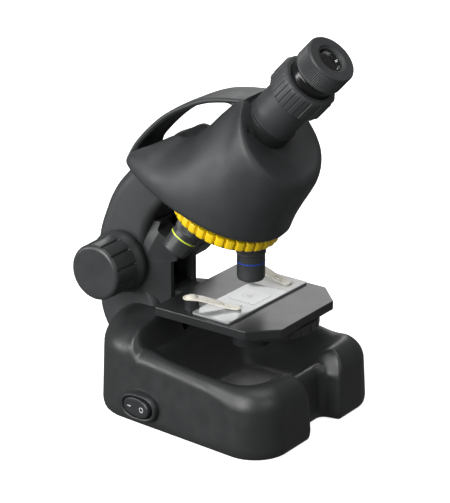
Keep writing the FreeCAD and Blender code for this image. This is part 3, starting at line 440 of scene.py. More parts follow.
SPECIMEN_MIDDLE = (0.0012, 0.0014, 0.0688)       # these four in metres
RAGGED_BY = 0.0035                               # how far the specimen's rings stray
HEART_EDGE = (0.0026, 0.0042)                    # the dark heart fades out over this radius
TISSUE_EDGE = (0.0064, 0.0076)                   # and so does the tissue round it


def stained(name):
    """The specimen under its cover glass: cloudy rings of stained tissue on pale glass."""
    f = Finish(name)
    f.set(IOR=1.52, Coat_Weight=0.6, Coat_Roughness=0.05)
    near = f.tree.nodes.new("ShaderNodeVectorMath")
    near.operation = "DISTANCE"
    f.link(f.where, near.inputs[0])
    near.inputs[1].default_value = SPECIMEN_MIDDLE
    ragged = f.tree.nodes.new("ShaderNodeMath")
    ragged.operation = "MULTIPLY_ADD"
    f.link(f.noise(2.4, 4.0), ragged.inputs[0])
    ragged.inputs[1].default_value = RAGGED_BY
    f.link(near.outputs["Value"], ragged.inputs[2])
    cells = f.spread(f.noise(0.9, 5.0), 0.35, 1.0)
    tissue = f.blend(cells, (0.33, 0.34, 0.345), (0.21, 0.215, 0.22))
    in_tissue = f.spread(ragged.outputs["Value"], 0.0, 1.0, *HEART_EDGE)
    heart = f.blend(in_tissue, (0.07, 0.072, 0.075), tissue)
    on_glass = f.spread(ragged.outputs["Value"], 0.0, 1.0, *TISSUE_EDGE)
    tone = f.blend(on_glass, heart, MOUNTED_GLASS)
    return f.done(tone, f.spread(f.noise(5.0, 3.0), 0.10, 0.20))


slide_glass = frosted("slide_glass", MOUNTED_GLASS)
specimen = stained("specimen_stain")

# ---------------------------------------------------------------- axes from the frame

CLAMP_TO_FACE = 26.65     # from the clamp joint's place out to the eyepiece's face

TURRET = frame_along(Vector(joints["turret_turn"]["pos_m"]) / MM, joints["turret_turn"]["axis"])
EYE_AXIS = Vector(joints["clamp_ring_turn"]["axis"]).normalized()
EYE_FACE = Vector(joints["clamp_ring_turn"]["pos_m"]) / MM + CLAMP_TO_FACE * EYE_AXIS
EYE = frame_along(EYE_FACE, EYE_AXIS)
KNOB_Y, KNOB_Z = (v / MM for v in joints["focus_turn"]["pos_m"][1:])
SWITCH_Y, SWITCH_Z = (v / MM for v in joints["power_rocker_tip"]["pos_m"][1:])


def turret_point(x, v, t):
    """A point of the turret's frame: x across, v rearwards, t up along the turret's axis."""
    return np.array(TURRET @ Vector((x, v, t)))


# ---------------------------------------------------------------- base

# Corners of the plan as (x, y, radius), from the notch round the right side, the rear and the left side.
BASE_CORNERS = [(12, -41, 4), (14.3, -52.2, 3), (55.2, -52.2, 27), (53.4, 79.3, 29), (-53.4, 79.3, 29),
                (-62.5, -52.2, 29), (-14.3, -52.2, 3), (-12, -41, 4)]
HUMP_TOP, WALL_TOP, WALL_RISE = 57.0, 40.3, 4.4
BOWL_X, BOWL_Y, BOWL_POWER, BOWL_DEPTH = 54.0, 40.0, 4.5, 25.0
BASE_LEAN = 1.2                                  # how far the walls lean in from foot to shoulder
BASE_LOW, BASE_FOOT, BASE_TUCK = 0.3, 5.8, 1.8   # lowest row, where the foot's rounding ends, its reach
# How far in from the edge the first rows of the top lie. Evenly spaced rows follow, to the middle.
EDGE_ROWS = [0, 0.12, 0.4, 0.9, 1.6, 2.5, 3.6, 5.0, 6.6, 8.4, 10.4, 12.6, 15, 17.6, 20.5, 23.5]
EVEN_ROWS = 30


def base_height(x, y):
    """The top surface of the base before its edge is rounded."""
    side = np.abs(x)
    hump = HUMP_TOP - 3 * ramp(side, 22, 42)
    wall = WALL_TOP + WALL_RISE * ramp(y, -34, 40) * ramp(side, 38, 50)
    height = wall + (hump - wall) * ramp(y, 39, 46)
    bowl = ((side / BOWL_X) ** BOWL_POWER + (np.abs(y) / BOWL_Y) ** BOWL_POWER) ** (1 / BOWL_POWER)
    height = height - BOWL_DEPTH * ramp(1 - bowl, -0.03, 0.62)
    front = ramp(-y, 24, 31)
    return height - 3 * (1 - ramp(side, 13, 21)) * front - 2.2 * np.exp(-((side - 16) / 2.2) ** 2) * front


def base_round(x, y):
    """The radius that rounds the top edge of the base."""
    wide = 8.5 + 7.0 * ramp(y, 37, 50) + 5.0 * ramp(-y, 8, 36)
    return mix(wide, 12, (1 - ramp(np.abs(x), 12, 28)) * ramp(-y, 10, 30))


def distance_to(points, outline):
    """How far each point is from a closed outline."""
    best = np.full(len(points), 1e9)
    for a, b in zip(outline, np.roll(outline, -1, axis=0)):
        run = b - a
        t = np.clip(((points - a) @ run) / max(run @ run, 1e-9), 0, 1)
        best = np.minimum(best, np.linalg.norm(points - a - t[:, None] * run, axis=1))
    return best


def base_shape():
    """The base's outer skin, from its underside up the walls and over the top to the middle."""
    outline = resample(rounded(BASE_CORNERS, 0.8), 420, closed=True)
    centre = np.array([0.0, 40.0])
    rim = offset(outline, BASE_LEAN)
    lengths = np.linalg.norm(rim - centre, axis=1)
    top_rows = []
    for step in range(len(EDGE_ROWS) + EVEN_ROWS):
        if step < len(EDGE_ROWS):
            along = np.full(len(rim), EDGE_ROWS[step])
        else:
            share = (step - len(EDGE_ROWS) + 1) / EVEN_ROWS
            along = EDGE_ROWS[-1] + (lengths - EDGE_ROWS[-1] - 0.4) * share
        plan = rim + (centre - rim) * (along / lengths)[:, None]
        depth = distance_to(plan, rim) if step else np.zeros(len(rim))
        radius = base_round(plan[:, 0], plan[:, 1])
        drop = radius - np.sqrt(np.maximum(radius ** 2 - np.maximum(radius - depth, 0) ** 2, 0))
        top_rows.append(np.column_stack([plan, base_height(plan[:, 0], plan[:, 1]) - drop]))
    shoulder = top_rows[0][:, 2]
    wall_rows = [flat(offset(outline, 2.6), 2, z) for z in (3.1, BASE_LOW)]
    for turn in np.radians(np.linspace(90, 0, 7)):
        tucked = BASE_TUCK * (1 - math.cos(turn))
        wall_rows.append(flat(offset(outline, tucked), 2,
                              BASE_FOOT - (BASE_FOOT - BASE_LOW) * math.sin(turn)))
    for t in np.linspace(0, 1, 9)[1:-1]:
        wall_rows.append(np.column_stack([offset(outline, BASE_LEAN * t), mix(BASE_FOOT, shoulder, t)]))
    return skin(wall_rows + top_rows, first=True, last=True)


# The carriage's channel: its half width and its rear wall, in the base and in the arm alike.
SLOT_HALF, POCKET_HALF, SLOT_REAR = 9.2, 9.4, 71.4

# The room the stage's carriage needs at its lowest.
carriage_pocket = box_shape((-POCKET_HALF, 20, 41.6), (POCKET_HALF, SLOT_REAR, 62))
# The base in its darker copy of the charcoal: painted shade.
piece("base_body", base_shape(), base_charcoal_painted_shade, "frame", ["base_shell"], crease=50,
      cuts=[carriage_pocket])


# ---------------------------------------------------------------- arm

# The front and rear outlines of the arm in the plane x = 0, as (y, z) and (y, z, radius).
ARM_FRONT = [(47, 16), (49, 40), (52.3, 57), (56.6, 64.5), (59.8, 74), (61.5, 84), (61.3, 94), (58.8, 104),
             (52.5, 115), (42, 127), (33, 135)]
ARM_REAR = [(82, 20, 0), (85.6, 28, 10), (96.0, 45, 30), (97.0, 92, 60), (84.9, 122.3, 60),
            (62.6, 147.4, 10), (54, 154, 0)]
ARM_HALF = 21.0


def arm_half():
    """One half of the C-shaped arm, from the seam at x = 0 outwards."""
    stations = 70
    front = resample(spline(ARM_FRONT), stations)
    rear = resample(rounded(ARM_REAR, 1.0, closed=False), stations)
    near, far, groove = 4.2, 7.5, 0.25
    rows = []
    for a, b in zip(front, rear):
        width = np.linalg.norm(b - a)
        along = (b - a) / width
        section = [(groove, 0.0), (0.0, groove)]
        section += [(0.0, x) for x in np.linspace(3, ARM_HALF - near, 5)]
        section += [(near * (1 - math.cos(q)), ARM_HALF - near + near * math.sin(q))
                    for q in np.radians(range(15, 91, 15))]
        section += [(u, ARM_HALF) for u in np.linspace(near, width - far, 12)[1:-1]]
        section += [(width - far + far * math.sin(q), ARM_HALF - far + far * math.cos(q))
                    for q in np.radians(range(0, 91, 10))]
        section += [(width, x) for x in np.linspace(ARM_HALF - far, 3, 4)[1:]]
        section += [(width, groove), (width - groove, 0.0)]
        rows.append([(x - 0.6 * (2 * u / width - 1) ** 2 if x > 12 else x, *(a + along * u))
                     for u, x in section])
    return skin(rows, first=True, last=True)


# The room that the carriage and the rack need inside the arm, and the wells of its screws.
slot_cut = box_shape((-SLOT_HALF, 36, 41), (SLOT_HALF, SLOT_REAR, 83))
rack_cut = box_shape((-4.4, 60, 80), (4.4, SLOT_REAR, 105))
ARM_SCREWS = [(88.5, 50), (87, 102), (70, 122)]
wells = [along_x(3.1, y, z, 15, 30) for y, z in ARM_SCREWS]
piece("arm_right", arm_half(), charcoal, "frame", ["arm_shell_right"],
      cuts=[slot_cut, rack_cut] + wells)
piece("arm_left", flipped(arm_half()), charcoal, "frame", ["arm_shell_left"],
      cuts=[slot_cut, rack_cut])

# Levels of a cheek of the carriage channel: height, front, where its chamfer starts, where it ends (x, y).
NOSE = [(28, 47.3, 12.2, 20.6, 59.5), (83.0, 47.3, 12.2, 20.6, 59.5), (83.9, 44.6, 10.3, 20.6, 59.5),
        (87.0, 44.8, 10.4, 20.4, 59.3), (97.0, 46.7, 11.8, 17.4, 54.8), (104.0, 48.4, 13.0, 15.0, 51.4),
        (107.0, 50.4, 13.4, 14.4, 51.8)]


def nose_cheek():
    """One cheek of the carriage channel."""
    return skin([[(SLOT_HALF, 71, z), (SLOT_HALF, front, z), (inner, front, z), (side_x, side_y, z),
                  (side_x, 68, z)]
                 for z, front, inner, side_x, side_y in NOSE], first=True, last=True)


# The room the longest objective sweeps when the turret turns.
objective_path = placed(turned([(0.01, -29.4), (20.5, -29.4), (34.9, -24.4), (35.1, -19), (28.9, -1.5),
                                (0.01, -1.5)], 120), TURRET)
for side, turn in (("right", lambda s: s), ("left", flipped)):
    piece("nose_cheek_" + side, turn(nose_cheek()), charcoal, "frame", bevel=0.7,
          cuts=[objective_path])
    piece("nose_roof_" + side, turn(box_shape((0, 52.5, 83), (9.4, 66.0, 107))), charcoal, "frame",
          bevel=0.3, cuts=[objective_path])


# ---------------------------------------------------------------- hood and handle

# Stations round the right side, rear to front: lower rim (x, v), upper edge (x, v, t), outward direction
# (x, v), how far the side bulges past its two ends, and the inner end of the top surface (x, v, t). Where
# that inner end is None, it lies round the eyepiece tube.
HOOD = [
    ((0.0, 65.2), (0.0, 64.6, 8.0), (0.0, 1.0), 0.3, (0, 61, 7.5)),
    ((13.0, 63.6), (11.5, 62.6, 8.8), (0.5, 0.87), 0.6, (0, 59, 7.5)),
    ((17.5, 60.4), (13.5, 58.4, 12.5), (0.8, 0.6), 1.5, (0, 55, 9)),
    ((22.2, 55.8), (13.5, 48.9, 25.4), (0.9, 0.43), 3.0, (0, 46, 19)),
    ((26.5, 46.0), (13.5, 41.1, 34.4), (0.95, 0.3), 4.5, (0, 40, 27)),
    ((29.5, 36.0), (13.5, 33.5, 36.6), (0.98, 0.2), 6.0, (0, 33, 28)),
    ((31.2, 27.0), (13.5, 28.0, 42.6), (0.99, 0.1), 7.0, (0, 27, 34)),
    ((32.1, 18.0), (13.5, 22.0, 53.0), (1.0, 0.03), 8.0, (0, 20, 47)),
    ((31.9, 9.0), (13.5, 16.0, 65.8), (1.0, -0.05), 9.0, None),
    ((31.2, 1.0), (13.5, 9.0, 77.0), (0.98, -0.2), 9.5, None),
    ((29.0, -9.0), (23.3, -0.2, 72.8), (0.9, -0.43), 9.5, None),
    ((25.0, -17.5), (26.9, -11.3, 65.3), (0.8, -0.6), 9.0, None),
    ((18.5, -24.8), (23.9, -22.9, 57.8), (0.6, -0.8), 9.5, None),
    ((9.8, -29.6), (13.7, -31.2, 52.0), (0.3, -0.95), 9.5, None),
    ((0.0, -31.3), (0.0, -34.0, 50.0), (0.0, -1.0), 9.0, None),
]
# Where the inner end of the last stations lies round the eyepiece tube, in degrees.
DISH = {8: 0.0, 9: 30.0, 10: 70.0, 11: 104.0, 12: 130.0, 13: 155.0, 14: 180.0}
TUBE_RADIUS, DISH_DEPTH, HOOD_RIM = 16.6, -68.0, 5.8
# The eyepiece's axis in the turret's frame, along which the well round the tube goes down.
WELL = np.array((TURRET.to_3x3().inverted() @ EYE.to_3x3() @ Vector((0, 0, 1)))[:])


def end_on_tube(end):
    """Whether the inner end of a hood column lies in the well round the eyepiece tube."""
    local = EYE.inverted() @ (TURRET @ Vector(end))
    return math.hypot(local.x, local.y) < TUBE_RADIUS + 2.5


def bezier(a, b, c, d, steps):
    """Points along a cubic curve."""
    t = np.linspace(0, 1, steps)[:, None]
    return (1 - t) ** 3 * a + 3 * (1 - t) ** 2 * t * b + 3 * (1 - t) * t ** 2 * c + t ** 3 * d


def hood_columns():
    """The right half of the hood, as columns of points from the lower rim, over the lip and down inside."""
    low, high, out, bulge, inner = [], [], [], [], []
    for k, (rim, top, normal, push, end) in enumerate(HOOD):
        if end is None:
            turn = math.radians(DISH[k])
            local = Vector((TUBE_RADIUS * math.sin(turn), -TUBE_RADIUS * math.cos(turn), DISH_DEPTH))
            end = tuple(TURRET.inverted() @ (EYE @ local))
        low.append((*rim, HOOD_RIM))
        high.append(top)
        out.append(normal)
        bulge.append((push,))
        inner.append(end)
    lines = [spline(line, 5) for line in (low, high, out, bulge, inner)]
    columns = []
    for rim, top, normal, push, end in zip(*lines):
        n = np.array([*normal, 0.0]) / np.linalg.norm(normal)
        up = np.array([0.0, 0.0, 1.0])
        height = top[2] - rim[2]
        lift, flare = min(4.0, 0.35 * height), min(4.2, 0.30 * height)
        rounding = [rim + n * flare * math.sin(q) + up * lift * (1 - math.cos(q))
                    for q in np.radians(range(0, 90, 15))]
        start = rim + n * flare + up * lift
        reach = np.linalg.norm(top - start)
        inwards = -n * 0.93 + up * 0.37
        lip = float(ramp(-normal[1], 0.1, 0.8))
        first = start + up * reach * (0.42 + 0.12 * lip) + n * push[0] * 0.35 * (1 - lip)
        second = (top + n * (push[0] + 0.5) * (0.93 + 0.42 * lip)
                  - up * (0.37 * push[0] + 0.8) * (1 - 0.3 * lip))
        side = bezier(start, first, second, top, 26)
        away = end - top
        span = np.linalg.norm(away)
        if end_on_tube(end):
            dish = bezier(top, top + inwards * 0.34 * span, end + WELL * 7.5, end, 20)
        else:
            sag = up * min(5.0, 0.28 * span)
            dish = bezier(top, top + inwards * 0.3 * span, mix(top, end, 0.55) - sag, end, 20)
        columns.append(np.vstack([rounding, side, dish[1:]]))
    return columns


right_side = hood_columns()
left_side = [c * (-1, 1, 1) for c in reversed(right_side)]
hood_rows = np.array(left_side[:-1] + right_side).transpose(1, 0, 2)
hood_shape = skin([[turret_point(*p) for p in row] for row in hood_rows], loop=False)
piece("hood", hood_shape, hood_charcoal, "frame", ["hood_shell"], crease=60, wall=2.2)

# The middle line of the carrying strap's top in the plane x = 0, as (y, z).
STRAP = [(-4, 189.9), (4.6, 189.1), (11.3, 188.2), (21.3, 186.1), (30.4, 182.8), (35.5, 180.3), (43.3, 176.2),
         (52.3, 170.1), (59.6, 163.8), (66.7, 156.6), (72.6, 149.5), (76.7, 142.6), (78.3, 138.9)]


def strap_shape():
    """The carrying strap: a crowned band, thicker where it runs into the hood."""
    line = resample(spline(STRAP), 70)
    half, edge = 13.5, 1.3
    rows = []
    for i, (y, z) in enumerate(line):
        up = normal_at(line, i)
        t = i / (len(line) - 1)
        thick = 2.9 + 4.0 * (1 - ramp(t, 0.02, 0.13)) + 4.0 * ramp(t, 0.86, 1.0)
        section = []
        for x in np.linspace(-half + edge, half - edge, 13):
            section.append((x, 0.5 * (1 - (x / half) ** 2)))
        for q in np.radians(range(75, -90, -25)):
            section.append((half - edge + edge * math.cos(q), -edge + edge * math.sin(q)))
        section.append((half - 0.2, -thick + 1.0))
        section.append((half - 1.2, -thick))
        for x in np.linspace(half - 2.6, -half + 2.6, 9):
            section.append((x, -thick + 0.9 * (1 - (x / half) ** 4)))
        section.append((-half + 1.2, -thick))
        section.append((-half + 0.2, -thick + 1.0))
        for q in np.radians(range(-75, 90, 25)):
            section.append((-half + edge - edge * math.cos(q), -edge + edge * math.sin(q)))
        rows.append([(x, y + up[0] * h, z + up[1] * h) for x, h in section])
    return skin(rows, first=True, last=True)


piece("carrying_strap", strap_shape(), charcoal, "frame", ["carry_handle"], crease=50)


# ---------------------------------------------------------------- turret and objectives

def lobes(count, depth, width, crown):
    """A rim of count crowned lobes with narrow grooves between them."""
    def shape(angles, radius, height):
        step = 2 * math.pi / count
        place = (angles / step) % 1.0 - 0.5
        gap = (0.5 - np.abs(place)) * step * radius
        return radius - depth * np.exp(-(gap / width) ** 2) - crown * (2 * place) ** 2
    return shape


RING_INNER, RING_LOBES = 27.35, 32


def ring_shape():
    """The turret's ring, lobed outside and smooth inside."""
    rim = lobes(RING_LOBES, 1.5, 0.62, 0.35)
    profile = [(RING_INNER, 3.8), (30.6, 3.8), (31.2, 3.4), (31.4, 2.8), (31.4, 0.4), (31.4, -0.9),
               (31.2, -1.5), (30.7, -2.0), (29.6, -2.1), (RING_INNER, -2.1), (RING_INNER, 3.8)]
    return turned(profile, 640, lambda a, r, h: rim(a, r, h) if r > RING_INNER else r)


piece("turret_grip", placed(ring_shape(), TURRET), yellow, "turret", ["turret_ring"])


KNURLS, KNURL_DEPTH = 56, 0.22


def objective(bottom):
    """An objective turned about the optical axis, from its seat in the turret down to its front rim."""
    corners = [(8.6, 108.6, 0), (8.6, 101.6, 0.4), (8.0, 101.2, 0), (8.0, 100.6, 0), (8.5, 100.2, 0),
               (8.5, 96.4, 0.3), (8.05, 96.0, 0), (8.05, bottom + 1.6, 0.4), (7.4, bottom + 0.3, 0.4),
               (6.9, bottom, 0.2), (5.0, bottom, 0.2), (4.6, bottom + 1.4, 0), (4.4, bottom + 2.0, 0)]

    def knurled(angles, radius, height):
        if radius > 8.3 and 96.6 < height < 100.1:
            return radius - KNURL_DEPTH * (0.5 + 0.5 * np.cos(angles * KNURLS))
        return radius
    return turned(rounded(corners, 0.35, closed=False), 336, knurled)


# Each objective as it stands over the stage: its lower end, its line's height, its turn and its colour.
for name, bottom, line, turn, tint, paint in (("high", 80.5, 91.2, 0, blue, "blue_paint"),
                                              ("mid", 82.0, 92.6, 240, lime, "green_paint"),
                                              ("low", 88.0, 94.4, 120, red, "red_paint")):
    swing = TURRET @ Matrix.Rotation(math.radians(turn), 4, "Z") @ TURRET.inverted()
    piece("objective_barrel_" + name, placed(objective(bottom), swing), smooth_charcoal, "turret",
          ["objective_" + name])
    stripe = turned([(7.8, line - 0.45), (8.2, line - 0.4), (8.2, line + 0.4), (7.8, line + 0.45)], 120)
    piece("band_line_" + name, placed(stripe, swing), tint, "turret", ["band_" + name])

# ---------------------------------------------------------------- eyepiece

# Heights here are along the eyepiece's axis, 0 at its face and negative inwards.
# The collar ring in the near-black finish: painted shade for the dark well round the eyepiece tube.
collar = turned([(14.1, -68), (15.2, -68), (15.2, -55.6), (15.0, -55.1), (14.1, -54.9)], 160)
piece("tube_collar_ring", placed(collar, EYE), inside_black_and_painted_shade, "frame", ["tube_collar"])

CLAMP_RIBS, CAP_RIDGES = 16, 90


def clamp_shape():
    """The clamp ring: broad ribs with a fine line at each edge, smooth inside."""
    def ribbed(angles, radius, height):
        if radius < 15.5:
            return radius
        place = (angles / math.pi * CLAMP_RIBS) % 2.0
        raised = ramp(place, 0.02, 0.16) - ramp(place, 1.02, 1.16)
        line = np.exp(-(np.minimum(np.abs(place - 0.04), np.abs(place - 1.04)) / 0.08) ** 2)
        line += np.exp(-((place - 2.04) / 0.08) ** 2)
        share = ramp(radius, 16.3, 17.3)
        return radius - share * (0.35 * (1 - raised) + 0.40 * line)
    profile = [(14.2, -33.9), (16.7, -33.9), (17.2, -33.6), (17.4, -33.1), (17.4, -30), (17.4, -24),
               (17.4, -21.8), (17.3, -21.3), (16.7, -20.5), (15.9, -19.9), (15.4, -19.7), (13.2, -19.7),
               (13.2, -21), (14.2, -22)]
    return turned(profile + profile[:1], 640, ribbed)


piece("clamp_grip", placed(clamp_shape(), EYE), charcoal, "clamp", ["clamp_ring"])

barrel_profile = rounded([(10.6, -78, 0), (12.9, -78, 0.5), (12.9, -14.0, 0.9), (11.6, -13.6, 0.2),
                          (11.6, -6, 0), (10.6, -6, 0), (10.6, -78, 0)], 0.5, closed=False)
piece("eyepiece_neck", placed(turned(barrel_profile, 128), EYE), gloss_black, "eyepiece",
      ["eyepiece_barrel"])


def cap_shape():
    """The eyepiece's cap, with fine ridges round its side and the seat of the eye lens in its face."""
    corners = [(9.5, -12.6, 0), (14.2, -12.6, 0.5), (14.8, -11.9, 0.4), (14.8, -0.9, 0.3),
               (14.3, -0.1, 0.5), (8.9, 0.0, 0.35), (8.2, -0.8, 0.25), (7.4, -1.1, 0.3), (7.3, -2.6, 0),
               (9.5, -3.4, 0), (9.5, -12.6, 0)]

    def ridged(angles, radius, height):
        if radius <= 14.2:
            return radius
        share = ramp(-height, 1.2, 1.7) * (1 - ramp(-height, 10.9, 11.4))
        return radius - 0.3 * share * (0.5 + 0.5 * np.cos(angles * CAP_RIDGES))
    return turned(rounded(corners, 0.3, closed=False), 720, ridged)


piece("eyepiece_cap_ring", placed(cap_shape(), EYE), charcoal, "eyepiece", ["eyepiece_cap"])


# ---------------------------------------------------------------- focus knobs

KNOB_RADIUS, KNOB_END, KNOB_GROOVES, KNOB_SEGMENTS = 16.5, 48.0, 12, 720


def knob_shape():
    """A focus knob: a flange towards the arm and a grooved grip with a closed outer face."""
    corners = [(3.2, 22.8, 0), (18.4, 22.8, 0.8), (18.6, 25.6, 1.5), (16.9, 29.6, 2.0),
               (KNOB_RADIUS, 43.0, 2), (KNOB_RADIUS, KNOB_END, 4.2), (0.4, KNOB_END, 0)]

    def grooved(angles, radius, height):
        if radius <= 12:
            return radius
        share = ramp(height, 29.8, 31.0) * (1 - ramp(height, 44.8, 46.6))
        step = 2 * math.pi / KNOB_GROOVES
        gap = ((angles / step) % 1.0 - 0.5) * step * KNOB_RADIUS
        return radius - 1.1 * share * np.exp(-(np.abs(gap) / 0.62) ** 4)
    points, faces = turned(rounded(corners, 0.45, closed=False), KNOB_SEGMENTS, grooved)
    return points, faces + [tuple(range(len(points) - KNOB_SEGMENTS, len(points)))]


for side, sign in (("right", 1), ("left", -1)):
    place = frame_along((0, KNOB_Y, KNOB_Z), (sign, 0, 0), (0, 0, 1))
    piece("focus_grip_" + side, placed(knob_shape(), place), smooth_charcoal, "focus", ["focus_knob_" + side])


# ---------------------------------------------------------------- switch

# The switch stands a little forward and up of its joint's place.
SWITCH_FORWARD, SWITCH_UP = 1.0, 1.2


def oval(width, height, count=96):
    """A rounded oval, width along Y and height along Z, anticlockwise seen from +X."""
    turn = around(count)
    power = 2 / 2.35
    return np.column_stack([width / 2 * np.sign(np.cos(turn)) * np.abs(np.cos(turn)) ** power,
                            height / 2 * np.sign(np.sin(turn)) * np.abs(np.sin(turn)) ** power])


# The surround's rows from outside inwards, as (x, width, height).
BEZEL = [(-52, 26.5, 17.4), (-58.0, 26.3, 17.2), (-59.6, 25.0, 16.2), (-60.2, 24.2, 15.6),
         (-60.4, 23.2, 14.8), (-60.3, 21.6, 13.4), (-59.9, 20.9, 12.8), (-59.2, 20.6, 12.5),
         (-53, 20.6, 12.5)]
bezel = skin([flat(oval(width, height) + (SWITCH_Y - SWITCH_FORWARD, SWITCH_Z + SWITCH_UP), 0, x)
              for x, width, height in BEZEL])
piece("switch_surround", bezel, black, "frame", ["switch_bezel"], crease=50)


def rocker_shape():
    """The rocker's face, dished from end to end, about its own middle."""
    rows = []
    for share, drop in ((1.0, 5.0), (1.0, 1.2), (0.985, 0.6), (0.95, 0.25), (0.88, 0.05), (0.7, 0),
                        (0.45, 0), (0.2, 0)):
        ring = oval(19.6 * share, 11.4 * share)
        bow = 0.7 * (ring[:, 0] / 10.0) ** 2
        rows.append(np.column_stack([-4.6 + drop - bow, ring[:, 0], ring[:, 1]]))
    return skin(rows, last=True)


def mark_ring(radius, width, count=40):
    """The round mark, raised from the rocker's front half."""
    turn = around(count)
    rows = []
    for reach, level in ((radius - width, -4.4), (radius - width, -4.95), (radius, -4.95), (radius, -4.4)):
        y = 4.6 + reach * np.cos(turn)
        rows.append(np.column_stack([level - 0.7 * (y / 10) ** 2 + 0.1, -y, reach * np.sin(turn)]))
    return skin(rows)


ROCKER = (Matrix.Translation((-56.0, SWITCH_Y - SWITCH_FORWARD, SWITCH_Z + SWITCH_UP))
          @ Matrix.Rotation(math.radians(-8), 4, "Z"))
piece("rocker_face", placed(rocker_shape(), ROCKER), black, "rocker", ["power_rocker"],
      crease=50)
piece("rocker_mark_off", placed(mark_ring(1.6, 0.36), ROCKER), pale_mark, "rocker")
piece("rocker_mark_on", placed(box_shape((-5.15, 3.6, -0.2), (-4.5, 6.2, 0.2)), ROCKER), pale_mark, "rocker")

# ---------------------------------------------------------------- stage, slide and clips

STAGE_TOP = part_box("stage_plate")[1].z / MM
STAGE_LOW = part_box("stage_plate")[0].z / MM


def stage_shape():
    """The stage plate: a rectangle with its two front corners cut off."""
    half = [(40.3, 38.4, 1.6), (40.3, -24.1, 2.0), (25.6, -39.2, 2.0)]
    outline = rounded([(-x, y, r) for x, y, r in half] + [(x, y, r) for x, y, r in reversed(half)], 0.8)
    rows = []
    for inset, z in ((2.2, STAGE_LOW + 2.6), (2.2, STAGE_LOW), (0.4, STAGE_LOW), (0.1, STAGE_LOW + 0.12),
                     (0.0, STAGE_LOW + 0.5), (0.0, STAGE_TOP - 0.8), (0.07, STAGE_TOP - 0.4),
                     (0.25, STAGE_TOP - 0.12), (0.6, STAGE_TOP)):
        rows.append(flat(offset(outline, inset), 2, z))
    return skin(rows, first=True, last=True)


HOLE_RADIUS = 11.8
light_hole = placed(turned([(0.01, -6), (HOLE_RADIUS, -6), (HOLE_RADIUS, 6), (0.01, 6)], 96),
                    Matrix.Translation((0, 0, STAGE_TOP)))
piece("stage_top", stage_shape(), stage_black, "stage", ["stage_plate"], cuts=[light_hole])

SLIDE = Matrix.Translation((0.8, 0.9, STAGE_TOP)) @ Matrix.Rotation(math.radians(-1.2), 4, "Z")


def slab(half_x, half_y, radius, low, high, edge, shift=0.0):
    """A flat plate between two heights with fine bevelled edges, shifted along X."""
    corners = [(-half_x, half_y, radius), (-half_x, -half_y, radius), (half_x, -half_y, radius),
               (half_x, half_y, radius)]
    outline = rounded(corners, 0.4)
    rows = [flat(offset(outline, inset), 2, z) + (shift, 0, 0)
            for inset, z in ((edge, low), (0, low + edge), (0, high - edge), (edge, high))]
    return skin(rows, first=True, last=True)


piece("slide_plate", placed(slab(38, 13, 1.6, 0.0, 1.2, 0.2), SLIDE), slide_glass, "specimen",
      ["specimen_slide"])
piece("slide_cover", placed(slab(9.0, 9.0, 0.5, 1.2, 1.30, 0.03), SLIDE), specimen, "specimen",
      ["cover_glass"])
piece("slide_paper", placed(slab(9.6, 12.2, 0.6, 1.2, 1.32, 0.02, 27.8), SLIDE), label_paper, "specimen",
      ["slide_label"])


# A clip's path out from its post, as (distance, height over the stage), and its lozenge hole in plan.
CLIP_PATH = [(-5.0, 6.6), (0.0, 6.6), (4.6, 6.4), (9.0, 5.5), (15.0, 4.0), (21.0, 2.5), (24.6, 1.95),
             (26.4, 2.1), (27.9, 3.0)]
CLIP_HOLE = [(15.0, 0), (18.0, -1.4), (21.0, 0), (18.0, 1.4)]
CLIP_HALF_THICK, CLIP_EDGE = 0.4, 0.12


def clip_shape(pivot, turn):
    """A spring strip, flat round its post and down to the slide with an upturned tip, and its hole."""
    path = spline(CLIP_PATH, 6)
    rows = []
    for i, (u, z) in enumerate(path):
        up = normal_at(path, i) * CLIP_HALF_THICK
        half = 3.7 - 0.9 * float(ramp(u, -4, 27))
        half *= math.sqrt(max(0.02, 1 - max(0.0, (-u - 1.3) / 3.8) ** 2))
        half *= math.sqrt(max(0.1, 1 - max(0.0, (u - 26.0) / 2.1) ** 2))
        inner = half - CLIP_EDGE
        rows.append([(u + up[0], inner, z + up[1]), (u, half, z), (u - up[0], inner, z - up[1]),
                     (u - up[0], -inner, z - up[1]), (u, -half, z), (u + up[0], -inner, z + up[1])])
    strip = skin(rows, first=True, last=True)
    hole = skin([flat(CLIP_HOLE, 2, z) for z in (-2, 12)], first=True, last=True)
    place = (Matrix.Translation((pivot[0], pivot[1], STAGE_TOP))
             @ Matrix.Rotation(math.radians(turn), 4, "Z"))
    return placed(strip, place), placed(hole, place)


for side, turn in (("left", -62), ("right", -96)):
    pivot = [v / MM for v in joints["clip_%s_turn" % side]["pos_m"][:2]]
    strip, hole = clip_shape(pivot, turn)
    # The clip strips in the pale colour: painted sheen in place of the steel's reflections.
    piece("clip_strip_" + side, strip, painted_sheen_steel, "clip_%s_arm" % side, ["clip_" + side],
          cuts=[hole])

# ---------------------------------------------------------------- carried-over nodes

CARRIED = {
    steel: ("arm_screws", "base_screws", "battery_contacts", "detent_spring", "door_screw", "focus_shaft",
            "guide_rods", "turret_screw", "wheel_pivot"),
    # The clip screws in the same pale colour: painted sheen in place of the steel's reflections.
    painted_sheen_steel: ("clip_screws",),
    charcoal: ("base_cover", "battery_door", "eyepiece_tube"),
    black: ("battery_tray", "clip_posts", "filter_wheel", "lamp_housing", "stage_carriage", "turret_disc"),
    inside_black_and_painted_shade: ("prism_holder", "rod_brackets", "turret_mount"),
    nylon: ("batteries", "focus_rack", "led_lamp", "pinion_gear", "shaft_bushes"),
    rubber: ("rubber_feet",),
    glass: ("colour_filters", "eye_lens", "field_lens", "lamp_lens", "objective_lenses", "prism"),
}
for finish, names in CARRIED.items():
    for name in names:
        for spot in nodes[name].material_slots:
            spot.material = finish

# ---------------------------------------------------------------- floor, camera, lights

